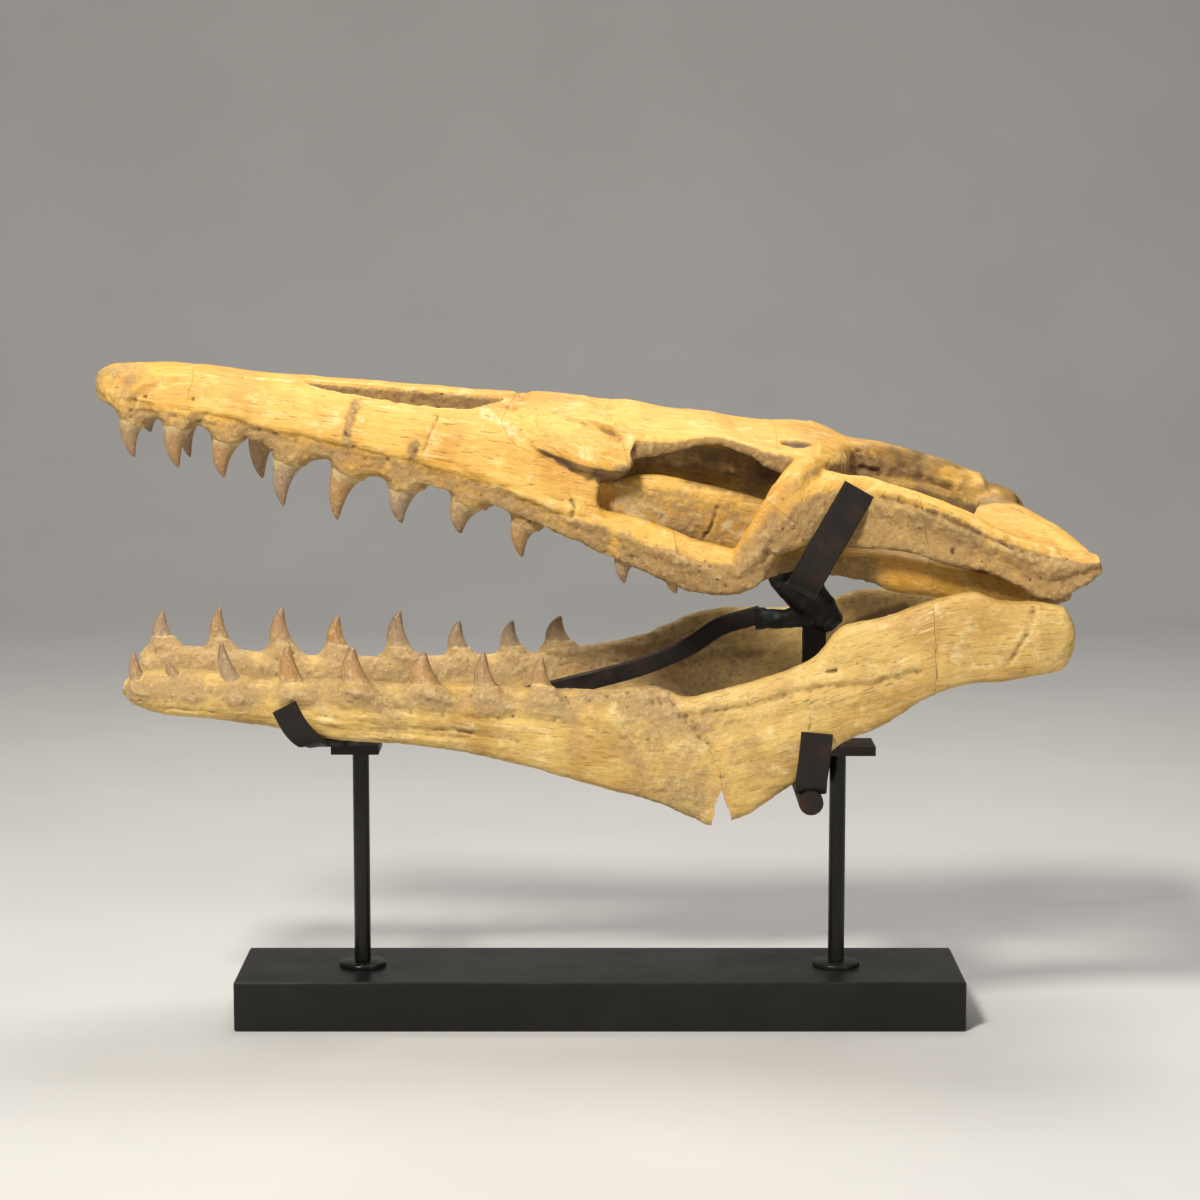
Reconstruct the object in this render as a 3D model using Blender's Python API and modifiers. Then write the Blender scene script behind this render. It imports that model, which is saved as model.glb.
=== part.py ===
"""Mosasaur skull with open jaws on its museum stand, at life size.

Frame: metres, +Z up.  The origin is the middle of the underside of the base.
The snout points to -X and the left side of the skull faces -Y.

The cranium is modelled in its own upright, symmetric frame and then leans a
few degrees towards its left side.  It is made whole, from lofts and swept
bars, and then parted along the sutures by thin cuts.  Each jaw is made the
same way.  All shape tables are in millimetres.
"""
import math

import bmesh
import bpy
from mathutils import Matrix, Vector

MM = 0.001
SEAM = 0.3                    # width of every cut and of every gap between pieces
CLEARANCE = 0.5               # how far steel is cut back from a bone that it holds
FLAT_ENOUGH = math.radians(2.5)    # faces that turn less than this are drawn as one

# ---- pose -----------------------------------------------------------------
LEAN = math.radians(7.0)      # the cranium leans towards its left side
LEAN_HEIGHT = 420.0           # height of the X axis that it leans about
# The right cheek's rear is crushed: it hangs lower and ends further forward.
CRUSH_DROP, CRUSH_SHORTENING = 12.0, 0.45
CRUSH_FROM_X, CRUSH_FULL_X = 150.0, 290.0
CRUSH_FROM_Y, CRUSH_FULL_Y = 30.0, 70.0

# ---- stand ----------------------------------------------------------------
BASE_LENGTH, BASE_DEPTH, BASE_HEIGHT = 550.0, 110.0, 38.0
BASE_BEVEL = 1.2
ROD_DIAMETER = 12.5
ROD_FRONT_X, ROD_REAR_X = -182.0, 181.0
FOOT_DIAMETER, FOOT_HEIGHT = 36.0, 3.0
PLATE_THICKNESS = 7.0
PLATE_FRONT = (-203, -167, 20, 212)        # x from, x to, half depth, top
PLATE_REAR = (154, 208, 20, 211)
STRAP_WIDTH, STRAP_THICKNESS = 24.0, 5.0
CLIP_THICKNESS, CLIP_FRONT_WIDTH, CLIP_REAR_WIDTH = 4.0, 19.0, 23.0
LONG_STRAP_WIDTH = 14.0
REAR_BAR_DIAMETER, REAR_BAR_X, REAR_BAR_HEIGHT = 18.0, 153.0, 186.0
REAR_BAR_ENDS = (-113, 108)                # y
BRACKET = (145, 167, 14)                   # x from, x to, half depth
POST_X, POST_SIDE, POST_TOP = 162.0, 17.0, 308.0

# Straps are drawn through the middle of the steel: x, y, z.
FRONT_BAR = [(-205, -54, 219.6), (-205, -36, 219.6), (-203, -22, 215), (-203, 22, 215),
             (-205, 34, 224), (-205, 54, 224)]
FRONT_CLIP_LEFT = [(-233, -65.5, 249), (-225, -65.5, 234), (-215, -62, 223), (-209, -54, 219)]
FRONT_CLIP_RIGHT = [(-230, 63.5, 253), (-222, 63.5, 239), (-213, 60, 228), (-208, 54, 223.5)]
REAR_CLIP_LEFT = [(157, -110.5, 237), (155, -110.5, 216), (153, -110, 199), (153, -106, 193)]
REAR_CLIP_RIGHT = [(157, 105.5, 231), (155, 105.5, 213), (153, 105, 199), (153, 101, 193)]
UPPER_STRAP_LEFT = [(188, -84.5, 412), (171, -85, 382), (157, -85, 357), (150, -79, 343),
                    (148, -66, 336.5), (148, -26, 333)]
UPPER_STRAP_RIGHT = [(188, 88.5, 428), (171, 89.5, 399), (157, 88, 374), (150, 81, 359),
                     (148, 64, 346), (148, 26, 336)]
LONG_STRAP = [(114, -6, 308), (91, 0, 300), (68, 0, 285), (30, 0, 269), (0, 0, 260.5),
              (-22, 0, 255), (-58, 0, 246.5), (-120, 0, 233), (-184, 0, 221)]
# bars of steel: x, y, z, half height, half thickness
KNUCKLE = [(127, -16, 351, 8, 7), (139, -15, 341, 13, 11), (152, -13, 328, 14, 13),
           (166, -10, 314, 13, 12), (176, -8, 302, 9, 9)]
ARM = [(117, -14, 308, 8, 7), (136, -14, 308, 7, 6), (158, -12, 310, 8, 8)]

# ---- cranium --------------------------------------------------------------
# x, roof height, crest height, gum height, half width
SNOUT = [
    (-376, 490, 485, 479, 4),
    (-370, 497, 482, 473, 15),
    (-356, 501, 479, 467, 24),
    (-328, 501, 476, 464, 29.5),
    (-296, 498.5, 472, 458, 33),
    (-259, 493.6, 464, 449, 37),
    (-205, 489, 451, 436, 41.5),
    (-167, 486, 444, 424, 44.5),
    (-124, 483, 434, 415, 48.5),
    (-76, 478.5, 420, 401, 54),
    (-39, 477, 406, 387, 60),
    (0, 472.5, 397, 374, 66),
    (8, 471, 395, 372, 67),
]
# fractions of the half width, and of the drop from roof to crest
SNOUT_SIDE = [(0.0, 0.0), (0.40, 0.08), (0.72, 0.34), (0.92, 0.70), (1.0, 1.0)]
PALATE_INSET, PALATE_RISE = 0.58, 9.0

# x, half width of the gap's outer edge; the inner edge is the bar's side
NARIS = [(-222, 10.5), (-205, 19), (-170, 24), (-120, 28), (-82, 28), (-68, 12)]
NARIS_DEPTH = 15.0
INTERNARIAL_HALF_WIDTH = 9.0

# x, height of the lower edge, how far the plate stands proud of the snout
PREFRONTAL = [(-66, 453, 0.5), (-45, 441, 2.5), (-30, 434, 3.5), (0, 432, 4), (22, 433, 3)]
# x, roof height, outer edge height, rim height, half width
FRONTAL = [
    (-58, 474, 470, 455, 26),
    (5, 472, 462, 440, 44),
    (22, 472, 452, 436, 50),
    (48, 466.5, 449, 440, 47),
    (84, 461, 453, 446, 43),
    (103, 454.5, 450, 442, 49),
    (127, 453, 444, 430, 60),
    (150, 452, 442, 424, 68),
    (170, 448, 438, 422, 66),
]
# x, roof height, half width of the roof, half width below, bottom height
PARIETAL = [
    (160, 450, 60, 26, 420),
    (178, 445, 40, 24, 414),
    (190, 442, 20, 22, 408),
    (205, 441, 15, 20, 402),
    (233, 434.5, 11, 19, 396),
    (256, 427.5, 11, 20, 392),
    (279, 418.5, 15, 22, 388),
    (288, 411, 18, 22, 385),
    (303, 404, 17, 20, 382),
    (316, 398, 12, 16, 380),
]
# x, top, bottom, half width
KEEL = [(0, 455, 428, 21), (60, 450, 424, 26), (110, 444, 415, 25), (168, 432, 400, 21)]
BRAINCASE = [
    (150, 425, 398, 17), (200, 420, 374, 21), (260, 410, 366, 25),
    (302, 392, 361, 24), (320, 377, 356, 11), (331, 374, 359, 8),
]
# Bars are rows of: x, y on the left side, z, half height, half thickness
CHEEK = [
    (-34, -47, 395, 11, 9), (6, -59, 385, 16, 9), (37, -66, 373.5, 17.5, 9),
    (73, -74, 361, 18, 8.5), (92, -81, 359.5, 17, 8), (108, -85, 362, 14, 7.5),
    (119, -86, 366, 8, 6),
]
POSTORBITAL_BAR = [
    (100, -85, 358, 11, 7), (112, -85, 373, 14, 8), (126, -82, 395, 14.5, 8),
    (138, -77, 415, 14, 8), (150, -71, 431, 12, 8), (156, -66, 438, 8, 7),
]
ARCADE = [
    (140, -62, 428, 12, 9), (162, -70, 413, 21, 7), (187, -77, 404, 26, 7),
    (218, -85, 400, 22.5, 8), (254, -93, 390, 20.5, 9), (290, -100, 378, 15.5, 12),
    (311, -104, 370, 16.5, 13), (325, -107, 364.5, 18.5, 13.5), (340, -109, 367, 13, 12),
    (352, -111, 372, 7.5, 9), (361, -112, 375, 3, 5),
]
PARIETAL_RAMUS = [(288, -8, 397, 9, 9), (310, -40, 391, 8, 8), (330, -66, 383, 7, 8), (346, -96, 375, 7, 8)]
PAROCCIPITAL = [(298, -14, 371, 7, 8), (312, -50, 367, 6, 7), (326, -98, 364, 7, 7)]
PTERYGOID = [
    (2, -38, 402, 16, 6), (30, -40, 402, 21, 6.5), (74, -42, 392.5, 24, 6.5),
    (104, -44, 384.5, 24.5, 6.5), (126, -46, 379, 22, 7), (148, -47, 367, 13.5, 7.5),
    (170, -50, 360, 9.5, 7.5), (192, -54, 359.5, 11.5, 8), (221, -59, 355.5, 15, 8),
    (257, -66, 350, 12.5, 8), (294, -74, 346.5, 9, 8), (322, -84, 345, 8, 8), (340, -100, 350, 7, 8),
]
ECTOPTERYGOID = [(152, -50, 366, 12, 8), (132, -64, 364, 10.5, 8), (112, -82, 359, 9, 8)]
BASIPTERYGOID = [(214, -10, 375, 9, 9), (214, -36, 366, 8, 8), (214, -58, 358, 8, 8)]

# Teeth are rows of: x, length past the gum, forward lean of the tip, base radius
UPPER_TEETH_LEFT = [
    (-347, 34, 0, 9), (-312, 37, 2, 10), (-276, 36, 4, 10.5), (-230, 45, 6, 11),
    (-184, 42, 10, 12), (-142, 33, 5, 12.5), (-97, 29, 6, 12.5), (-54, 30, 4, 12),
]
UPPER_TEETH_RIGHT = [
    (-338, 24, 0, 8), (-310, 36, 2, 10), (-285, 34, 4, 10), (-260, 40, -4, 11),
    (-190, 42, 8, 12), (-146, 33, 5, 12.5), (-99, 30, 6, 12.5), (-52, 28, 4, 12),
]
CHEEK_TEETH = [(18, 19, 0, 7), (55, 12, -2, 4.6)]
TOOTH_ROW = 0.80              # of the snout's half width

# ---- lower jaws -----------------------------------------------------------
# x, top, bottom, y on the left side, half thickness
LEFT_JAW = [
    (-356, 262, 254, -29, 5), (-348, 268, 246, -30, 11), (-329, 272, 239, -32, 14),
    (-295, 271, 236, -37, 15), (-249, 267, 232, -43, 15), (-200, 267, 223, -49, 14),
    (-149, 265, 220, -56, 13), (-102, 266, 215, -62, 13), (-52, 263, 205, -68, 13),
    (0, 263, 191, -75, 13), (37, 266, 182, -80, 12.5), (66, 259, 171, -85, 12),
    (82, 263, 165, -87, 11), (97, 267, 169, -89, 11), (131, 278, 190, -93, 11),
    (155, 290, 209, -96, 11), (177, 314, 229, -99, 11), (202, 319, 240, -102, 11),
    (234, 331, 261, -106, 12), (268, 340, 273, -109, 12), (291, 333, 275, -111, 12),
    (310, 333, 279, -113, 12), (332, 330, 284, -115, 11), (338, 322, 292, -115, 8),
    (341, 313, 301, -115, 4),
]
RIGHT_JAW = [
    (-353, 270, 262, 27, 5), (-345, 276, 254, 28, 11), (-322, 280, 246, 31, 14),
    (-290, 278, 243, 35, 15), (-245, 272, 236, 41, 15), (-200, 270, 227, 46, 14),
    (-149, 269, 223, 53, 13), (-102, 269, 217, 60, 13), (-49, 270, 206, 66, 13),
    (-8, 275, 195, 71, 13), (36, 283, 182, 77, 12.5), (58, 291, 172, 80, 11),
    (78, 299, 165, 82, 10), (100, 303, 166, 85, 10), (131, 302, 184, 88, 10),
    (155, 303, 203, 91, 11), (181, 309, 223, 94, 11), (210, 316, 237, 97, 11),
    (237, 315, 250, 99, 12), (276, 310, 258, 103, 12), (300, 304, 260, 105, 12),
    (326, 300, 264, 107, 11), (336, 292, 270, 107, 8), (339, 285, 276, 107, 4),
]
LOWER_TEETH_LEFT = [
    (-341, 12, 9, 6.5), (-314, 4, 4, 7), (-272, 25, 12, 9), (-224, 28, 8, 10.5),
    (-178, 27, 5, 11), (-127, 26, 3, 11), (-82, 25, 4, 10), (-40, 26, 1, 10.5),
]
LOWER_TEETH_RIGHT = [
    (-335, 30, 1, 9.5), (-290, 32, 2, 10), (-245, 36, -1, 10), (-201, 32, 0, 10),
    (-154, 34, 1, 11), (-109, 27, 1, 10), (-67, 27, 2, 9.5), (-29, 29, 2, 10),
]
ANGULAR_NOTCH = [(88, 193), (82, 168), (80, 150), (98, 150), (95, 170)]

TOOTH_PROFILE = [(-0.20, 1.0), (0.05, 1.0), (0.30, 0.80), (0.70, 0.46), (1.0, 0.06)]
TOOTH_SIDES = 6
TOOTH_BREADTH = 0.78          # across the jaw, of the radius along it
TOOTH_BOW = 0.28              # how far the middle of a crown bows forward, of its radius

parts = bpy.data.collections.new("mosasaur_skull")
cutters = bpy.data.collections.new("cutters")


# ---- general tools --------------------------------------------------------
def clear_scene():
    for thing in list(bpy.data.objects):
        bpy.data.objects.remove(thing, do_unlink=True)
    for collection in (parts, cutters):
        bpy.context.scene.collection.children.link(collection)


def material(name, colour, roughness, metallic=0.0):
    made = bpy.data.materials.new(name)
    made.use_nodes = True
    shader = made.node_tree.nodes["Principled BSDF"]
    shader.inputs["Base Color"].default_value = (*colour, 1.0)
    shader.inputs["Roughness"].default_value = roughness
    shader.inputs["Metallic"].default_value = metallic
    return made


def read(table, x, column):
    """Height or width at x, by straight lines between the rows of a table."""
    if x <= table[0][0]:
        return table[0][column]
    for low, high in zip(table, table[1:]):
        if x <= high[0]:
            share = (x - low[0]) / (high[0] - low[0])
            return low[column] + share * (high[column] - low[column])
    return table[-1][column]


def add_object(name, bm, collection):
    bmesh.ops.recalc_face_normals(bm, faces=bm.faces)
    mesh = bpy.data.meshes.new(name)
    bm.to_mesh(mesh)
    bm.free()
    made = bpy.data.objects.new(name, mesh)
    collection.objects.link(made)
    if collection is cutters:
        made.hide_render = True
        made.display_type = 'WIRE'
    return made


def add_loft(bm, rings):
    """One closed skin through rings of points in millimetres, capped at both ends."""
    rows = [[bm.verts.new(Vector(point) * MM) for point in ring] for ring in rings]
    count = len(rows[0])
    for one, two in zip(rows, rows[1:]):
        for i in range(count):
            j = (i + 1) % count
            bm.faces.new((one[i], one[j], two[j], two[i]))
    bm.faces.new(rows[0][::-1])
    bm.faces.new(rows[-1])


def loft(name, rings, collection=cutters):
    bm = bmesh.new()
    add_loft(bm, rings)
    bmesh.ops.triangulate(bm, faces=bm.faces)
    return add_object(name, bm, collection)


def mirrored(half):
    """A full ring from half a ring that runs from the midline round to the midline."""
    return half + [(x, -y, z) for x, y, z in half[-2:0:-1]]


def crushed(x, y, z, side):
    """Where a point of the cranium's symmetric design lies; side 1 is the left, -1 the right."""
    if side > 0:
        return x, y, z
    out = min(1.0, max(0.0, (abs(y) - CRUSH_FROM_Y) / (CRUSH_FULL_Y - CRUSH_FROM_Y)))
    back = min(1.0, max(0.0, (x - CRUSH_FROM_X) / (CRUSH_FULL_X - CRUSH_FROM_X)))
    return (x - CRUSH_SHORTENING * max(0.0, x - CRUSH_FULL_X) * out, -y,
            z - CRUSH_DROP * back * out)


def bar_rings(rows, side, sides=8):
    """Rounded sections square to a bar's path."""
    path = [Vector(crushed(x, y, z, side)) for x, y, z, _, _ in rows]
    rings = []
    for i, row in enumerate(rows):
        along = (path[min(i + 1, len(path) - 1)] - path[max(i - 1, 0)]).normalized()
        across = Vector((0, 0, 1)).cross(along)
        across = across.normalized() if across.length > 0.2 else Vector((0, 1, 0))
        up = along.cross(across).normalized()
        half_height, half_thickness = row[3], row[4]
        ring = []
        for k in range(sides):
            angle = math.tau * (k + 0.5) / sides
            squared = 1.0 / max(abs(math.cos(angle)), abs(math.sin(angle))) ** 0.6
            ring.append(path[i] + up * (math.sin(angle) * squared * half_height)
                        + across * (math.cos(angle) * squared * half_thickness))
        rings.append(ring)
    return rings


def prism(name, outline, low, high, plane):
    """An outline drawn in the XZ or XY plane, given depth along the third axis."""
    def place(point, depth):
        a, b = point
        return (a, depth, b) if plane == 'XZ' else (a, b, depth)

    return loft(name, [[place(p, low) for p in outline], [place(p, high) for p in outline]])


def ribbon(name, path, low, high, plane):
    """A cut of the seam's width that follows a path of straight lines."""
    points = [Vector(p) for p in path]
    sides = ([], [])
    for i, point in enumerate(points):
        before = (point - points[i - 1]).normalized() if i else None
        after = (points[i + 1] - point).normalized() if i + 1 < len(points) else None
        along = ((before or after) + (after or before)).normalized()
        normal = Vector((-along.y, along.x))
        reach = SEAM / 2 / max(0.4, normal.dot(Vector((-(after or before).y, (after or before).x))))
        sides[0].append(point + normal * reach)
        sides[1].append(point - normal * reach)
    outline = [tuple(p) for p in sides[0] + sides[1][::-1]]
    return prism(name, outline, low, high, plane)


def combine(target, tool, operation):
    """Join or cut a solid with another, and drop the other."""
    change = target.modifiers.new("combine", 'BOOLEAN')
    change.operation = operation
    change.solver = 'MANIFOLD'         # EXACT loses the braincase where it meets the parietal
    change.object = tool
    bpy.context.view_layer.update()
    evaluated = target.evaluated_get(bpy.context.evaluated_depsgraph_get())
    mesh = bpy.data.meshes.new_from_object(evaluated)
    target.modifiers.clear()
    old = target.data
    target.data = mesh
    bpy.data.meshes.remove(old)
    bpy.data.objects.remove(tool, do_unlink=True)


def unite(name, solids):
    whole = solids[0]
    for solid in solids[1:]:
        combine(whole, solid, 'UNION')
    whole.name = name
    return whole


def islands(bm):
    """The separate closed bodies of a mesh, as lists of their faces."""
    left = set(bm.faces)
    found = []
    while left:
        stack = [left.pop()]
        body = []
        while stack:
            face = stack.pop()
            body.append(face)
            for edge in face.edges:
                for other in edge.link_faces:
                    if other in left:
                        left.remove(other)
                        stack.append(other)
        found.append(body)
    return found


def part_by_cuts(whole, cuts, seeds, colour):
    """Cut a whole along its sutures, and name each piece by the seed nearest its middle."""
    for cut in cuts:
        combine(whole, cut, 'DIFFERENCE')
    bm = bmesh.new()
    bm.from_mesh(whole.data)
    bmesh.ops.dissolve_degenerate(bm, dist=5e-6, edges=bm.edges)
    bmesh.ops.dissolve_limit(bm, angle_limit=FLAT_ENOUGH, verts=bm.verts, edges=bm.edges)
    bmesh.ops.triangulate(bm, faces=bm.faces)
    bodies = sorted(islands(bm), key=len, reverse=True)
    free = dict(seeds)
    made = {}
    for body in bodies[:len(seeds)]:
        corners = {vert for face in body for vert in face.verts}
        middle = sum((vert.co for vert in corners), Vector()) / len(corners) / MM
        name = min(free, key=lambda key: (Vector(free[key]) - middle).length)
        del free[name]
        piece = bmesh.new()
        copies = {vert: piece.verts.new(vert.co) for vert in corners}
        for face in body:
            piece.faces.new([copies[vert] for vert in face.verts])
        made[name] = add_object(name, piece, parts)
        made[name].data.materials.append(colour)
    bm.free()
    bpy.data.objects.remove(whole, do_unlink=True)
    return made


def both_sides(maker):
    return [maker(1), maker(-1)]


# ---- teeth ----------------------------------------------------------------
def add_tooth(bm, root, tip, radius):
    """A curved, tapering crown on a flared base."""
    root, tip = Vector(root), Vector(tip)
    axis = tip - root
    bend = Vector((-radius * TOOTH_BOW, 0, 0))
    rings = []
    for share, width in TOOTH_PROFILE:
        centre = root + axis * share + bend * (4 * share * (1 - share) if share > 0 else 0)
        ring = []
        for k in range(TOOTH_SIDES):
            angle = math.tau * k / TOOTH_SIDES
            ring.append(centre + Vector((math.cos(angle) * radius * width,
                                         math.sin(angle) * radius * width * TOOTH_BREADTH, 0)))
        rings.append(ring)
    add_loft(bm, rings)


def tooth_row(name, roots):
    bm = bmesh.new()
    for root, tip, radius in roots:
        add_tooth(bm, root, tip, radius)
    bmesh.ops.triangulate(bm, faces=bm.faces)
    return add_object(name, bm, cutters)


def upper_teeth(side):
    table = UPPER_TEETH_LEFT if side > 0 else UPPER_TEETH_RIGHT
    roots = []
    for x, length, lean, radius in table:
        y = -side * TOOTH_ROW * read(SNOUT, x, 4)
        gum = read(SNOUT, x, 3) + 3
        roots.append(((x, y, gum), (x - lean, y, gum - 3 - length), radius))
    for x, length, lean, radius in CHEEK_TEETH:
        y = side * read(CHEEK, x, 1) * 0.97
        gum = read(CHEEK, x, 2) - read(CHEEK, x, 3) + 3
        roots.append(((x, y, gum), (x - lean, y, gum - 3 - length), radius))
    return tooth_row("upper_teeth", roots)


def lower_teeth(jaw, table):
    roots = []
    for x, length, lean, radius in table:
        gum = read(jaw, x, 1) - 5
        y = read(jaw, x, 3)
        roots.append(((x, y, gum), (x - lean, y, gum + 5 + length), radius))
    return tooth_row("lower_teeth", roots)


# ---- cranium --------------------------------------------------------------
def snout():
    rings = []
    for x, roof, crest, gum, half in SNOUT:
        side = [(x, -half * out, roof - (roof - crest) * down) for out, down in SNOUT_SIDE]
        under = [(x, -half * 0.97, (crest + gum) / 2), (x, -half * 0.88, gum),
                 (x, -half * PALATE_INSET, gum + 1)]
        rise = min(PALATE_RISE, (roof - gum) * 0.4)
        palate = [(x, -half * 0.42, gum + rise), (x, 0, gum + rise + 2)]
        rings.append(mirrored(side + under + palate))
    return loft("snout", rings)


def naris(side):
    rings = []
    for x, outer in NARIS:
        roof = read(SNOUT, x, 1)
        low, high, inner = roof - NARIS_DEPTH, roof + 20, INTERNARIAL_HALF_WIDTH
        rings.append([(x, -side * inner, low), (x, -side * outer, low),
                      (x, -side * outer, high), (x, -side * inner, high)])
    return loft("naris", rings)


def prefrontal(side):
    rings = []
    for x, low, proud in PREFRONTAL:
        half = min(read(SNOUT, x, 4), 67) + proud
        roof = read(SNOUT, x, 1) - 1
        outline = [(10, roof + 0.5), (half * 0.45, roof - 2), (half * 0.8, roof - 11), (half, low + 10),
                   (half * 1.01, low), (half - 16, low + 1), (half * 0.5, roof - 16), (10, roof - 14)]
        rings.append([(x, -side * y, z) for y, z in outline])
    return loft("prefrontal", rings)


def frontal():
    rings = []
    for x, roof, edge, rim, half in FRONTAL:
        half_ring = [(x, 0, roof), (x, -half * 0.5, roof - (roof - edge) * 0.25), (x, -half, edge),
                     (x, -half * 0.99, (edge + rim) / 2), (x, -half * 0.93, rim),
                     (x, -half * 0.55, rim + 1), (x, 0, rim + 3)]
        rings.append(mirrored(half_ring))
    return loft("frontal", rings)


def parietal():
    rings = []
    for x, roof, top_half, low_half, low in PARIETAL:
        half_ring = [(x, 0, roof), (x, -top_half * 0.6, roof - 1), (x, -top_half, roof - 5),
                     (x, -max(low_half, top_half) * 0.9, roof - 14), (x, -low_half, low),
                     (x, 0, low - 2)]
        rings.append(mirrored(half_ring))
    return loft("parietal", rings)


def block(name, table):
    """A central block with cut corners."""
    rings = []
    for x, top, low, half in table:
        corner = min(half, top - low) * 0.3
        half_ring = [(x, 0, top + 1), (x, -half + corner, top), (x, -half, top - corner),
                     (x, -half, low + corner), (x, -half + corner, low), (x, 0, low - 1)]
        rings.append(mirrored(half_ring))
    return loft(name, rings)


def bar(name, rows, side, sides=8):
    return loft(name, bar_rings(rows, side, sides))


def whole_cranium():
    solids = [snout()]
    solids += both_sides(prefrontal)
    solids += [frontal(), parietal(), block("keel", KEEL), block("braincase", BRAINCASE)]
    for name, rows, sides in (("cheek", CHEEK, 8), ("postorbital_bar", POSTORBITAL_BAR, 8),
                              ("arcade", ARCADE, 8), ("parietal_ramus", PARIETAL_RAMUS, 6),
                              ("paroccipital", PAROCCIPITAL, 6), ("pterygoid", PTERYGOID, 6),
                              ("ectopterygoid", ECTOPTERYGOID, 6), ("basipterygoid", BASIPTERYGOID, 6)):
        solids += both_sides(lambda side: bar(name, rows, side, sides))
    whole = unite("cranium", solids)
    for side in (1, -1):
        combine(whole, naris(side), 'DIFFERENCE')
        combine(whole, upper_teeth(side), 'UNION')
    return whole


def cranium_cuts():
    """The sutures.  Cuts with a Y range are made on both sides."""
    bar_side = INTERNARIAL_HALF_WIDTH
    everywhere = 130
    cuts = [
        ribbon("frontal_front", [(-67, 540), (-67, 443.5), (-45, 440), (-30, 433), (0, 431), (12, 431),
                                 (12, 420.5)], -everywhere, everywhere, 'XZ'),
        ribbon("palate_middle", [(-68, 0), (14, 0)], 330, 443.4, 'XY'),
        ribbon("frontal_parietal", [(130, -56), (130, 56)], 380, 480, 'XY'),
        ribbon("parietal_braincase", [(163, 370), (163, 416), (200, 405), (275, 391), (290, 380.5),
                                      (345, 379.5)], -30, 30, 'XZ'),
    ]
    for side in (1, -1):
        def near(path):
            return [crushed(x, -y, 0, side)[:2] for x, y in path]

        def span(inner, outer):
            return sorted((-side * inner, -side * outer))

        drop = 0 if side > 0 else CRUSH_DROP
        back = crushed(308, -80, 0, side)[0]

        cuts += [
            ribbon("premaxilla", near([(-298, 70), (-298, bar_side), (-67, bar_side), (-67, -0.5)]),
                   330, 540, 'XY'),
            ribbon("prefrontal", near([(-75, 25), (23, 25), (23, 80)]), 431, 490, 'XY'),
            ribbon("maxilla_jugal", [(46, 420), (68, 325)], *span(50, 110), 'XZ'),
            ribbon("jugal_postorbital", [(108, 423), (152, 390)], *span(62, 110), 'XZ'),
            ribbon("postorbital", near([(92, 70), (108, 52), (190, 52)]), 385, 480, 'XY'),
            ribbon("postorbital_squamosal", [(226, 440), (244, 350)], *span(70, 120), 'XZ'),
            ribbon("squamosal", near([(300, 92), (352, 60)]), 354.5 - drop, 420, 'XY'),
            ribbon("pterygoid_squamosal", [(back, 358 - drop), (back, 325 - drop)], *span(55, 92.8), 'XZ'),
            ribbon("pterygoid_palate", [(10, 365), (10, 430.5)], *span(22, 50), 'XZ'),
            ribbon("ectopterygoid", near([(85, 74), (150, 74)]), 335, 388, 'XY'),
            ribbon("basipterygoid", near([(190, 42), (240, 42)]), 340, 388, 'XY'),
        ]
    return cuts


def cranium(colour):
    seeds = {"premaxilla": (-296, 0, 462), "frontal": (33, 0, 448), "parietal": (231, 0, 410),
             "braincase": (254, 0, 375)}
    for name, y in (("left", -1), ("right", 1)):
        seeds.update({
            "maxilla_" + name: (-103, 39 * y, 413), "prefrontal_" + name: (-14, 42 * y, 447),
            "jugal_" + name: (106, 80 * y, 369), "postorbital_" + name: (159, 70 * y, 422),
            "squamosal_" + name: (316, 93 * y, 370), "pterygoid_" + name: (163, 55 * y, 370),
        })
    bones = part_by_cuts(whole_cranium(), cranium_cuts(), seeds, colour)
    pose = bpy.data.objects.new("cranium_pose", None)
    parts.objects.link(pose)
    pose.location = (0, 0, LEAN_HEIGHT * MM)
    pose.rotation_euler = (LEAN, 0, 0)
    for bone in bones.values():
        bone.data.transform(Matrix.Translation((0, 0, -LEAN_HEIGHT * MM)))
        bone.parent = pose
    return bones


# ---- lower jaws -----------------------------------------------------------
def jaw(name, table, teeth, colour):
    rings = []
    for x, top, low, y, half in table:
        middle, half_height = (top + low) / 2, (top - low) / 2
        outline = [(0.55, 1.0), (0.95, 0.72), (1.0, 0.1), (0.95, -0.5), (0.6, -0.93),
                   (-0.6, -0.93), (-0.95, -0.5), (-1.0, 0.1), (-0.95, 0.72), (-0.55, 1.0)]
        rings.append([(x, y + half * a, middle + half_height * b) for a, b in outline])
    whole = loft("jaw", rings)
    combine(whole, prism("notch", ANGULAR_NOTCH, -200, 200, 'XZ'), 'DIFFERENCE')
    combine(whole, lower_teeth(table, teeth), 'UNION')
    cuts = [
        ribbon("dentary", [(46, 330), (50, 259), (80, 222), (88, 206), (88, 140)], -200, 200, 'XZ'),
        ribbon("articular", [(239, 360), (243, 230)], -200, 200, 'XZ'),
    ]
    y = table[len(table) // 2][3]
    seeds = {"dentary_" + name: (-150, y * 0.7, 245), "surangular_" + name: (150, y * 1.1, 250),
             "articular_" + name: (290, y * 1.3, 305)}
    return part_by_cuts(whole, cuts, seeds, colour)


# ---- stand ----------------------------------------------------------------
def grown(bone):
    """A copy of a bone, larger all over by a little more than the seam."""
    bm = bmesh.new()
    bm.from_mesh(bone.data)
    bm.transform(bone.matrix_world)
    bm.normal_update()
    steps = [vert.normal * (CLEARANCE * MM) for vert in bm.verts]
    for vert, step in zip(bm.verts, steps):
        vert.co += step
    return add_object("clearance", bm, cutters)


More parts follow.
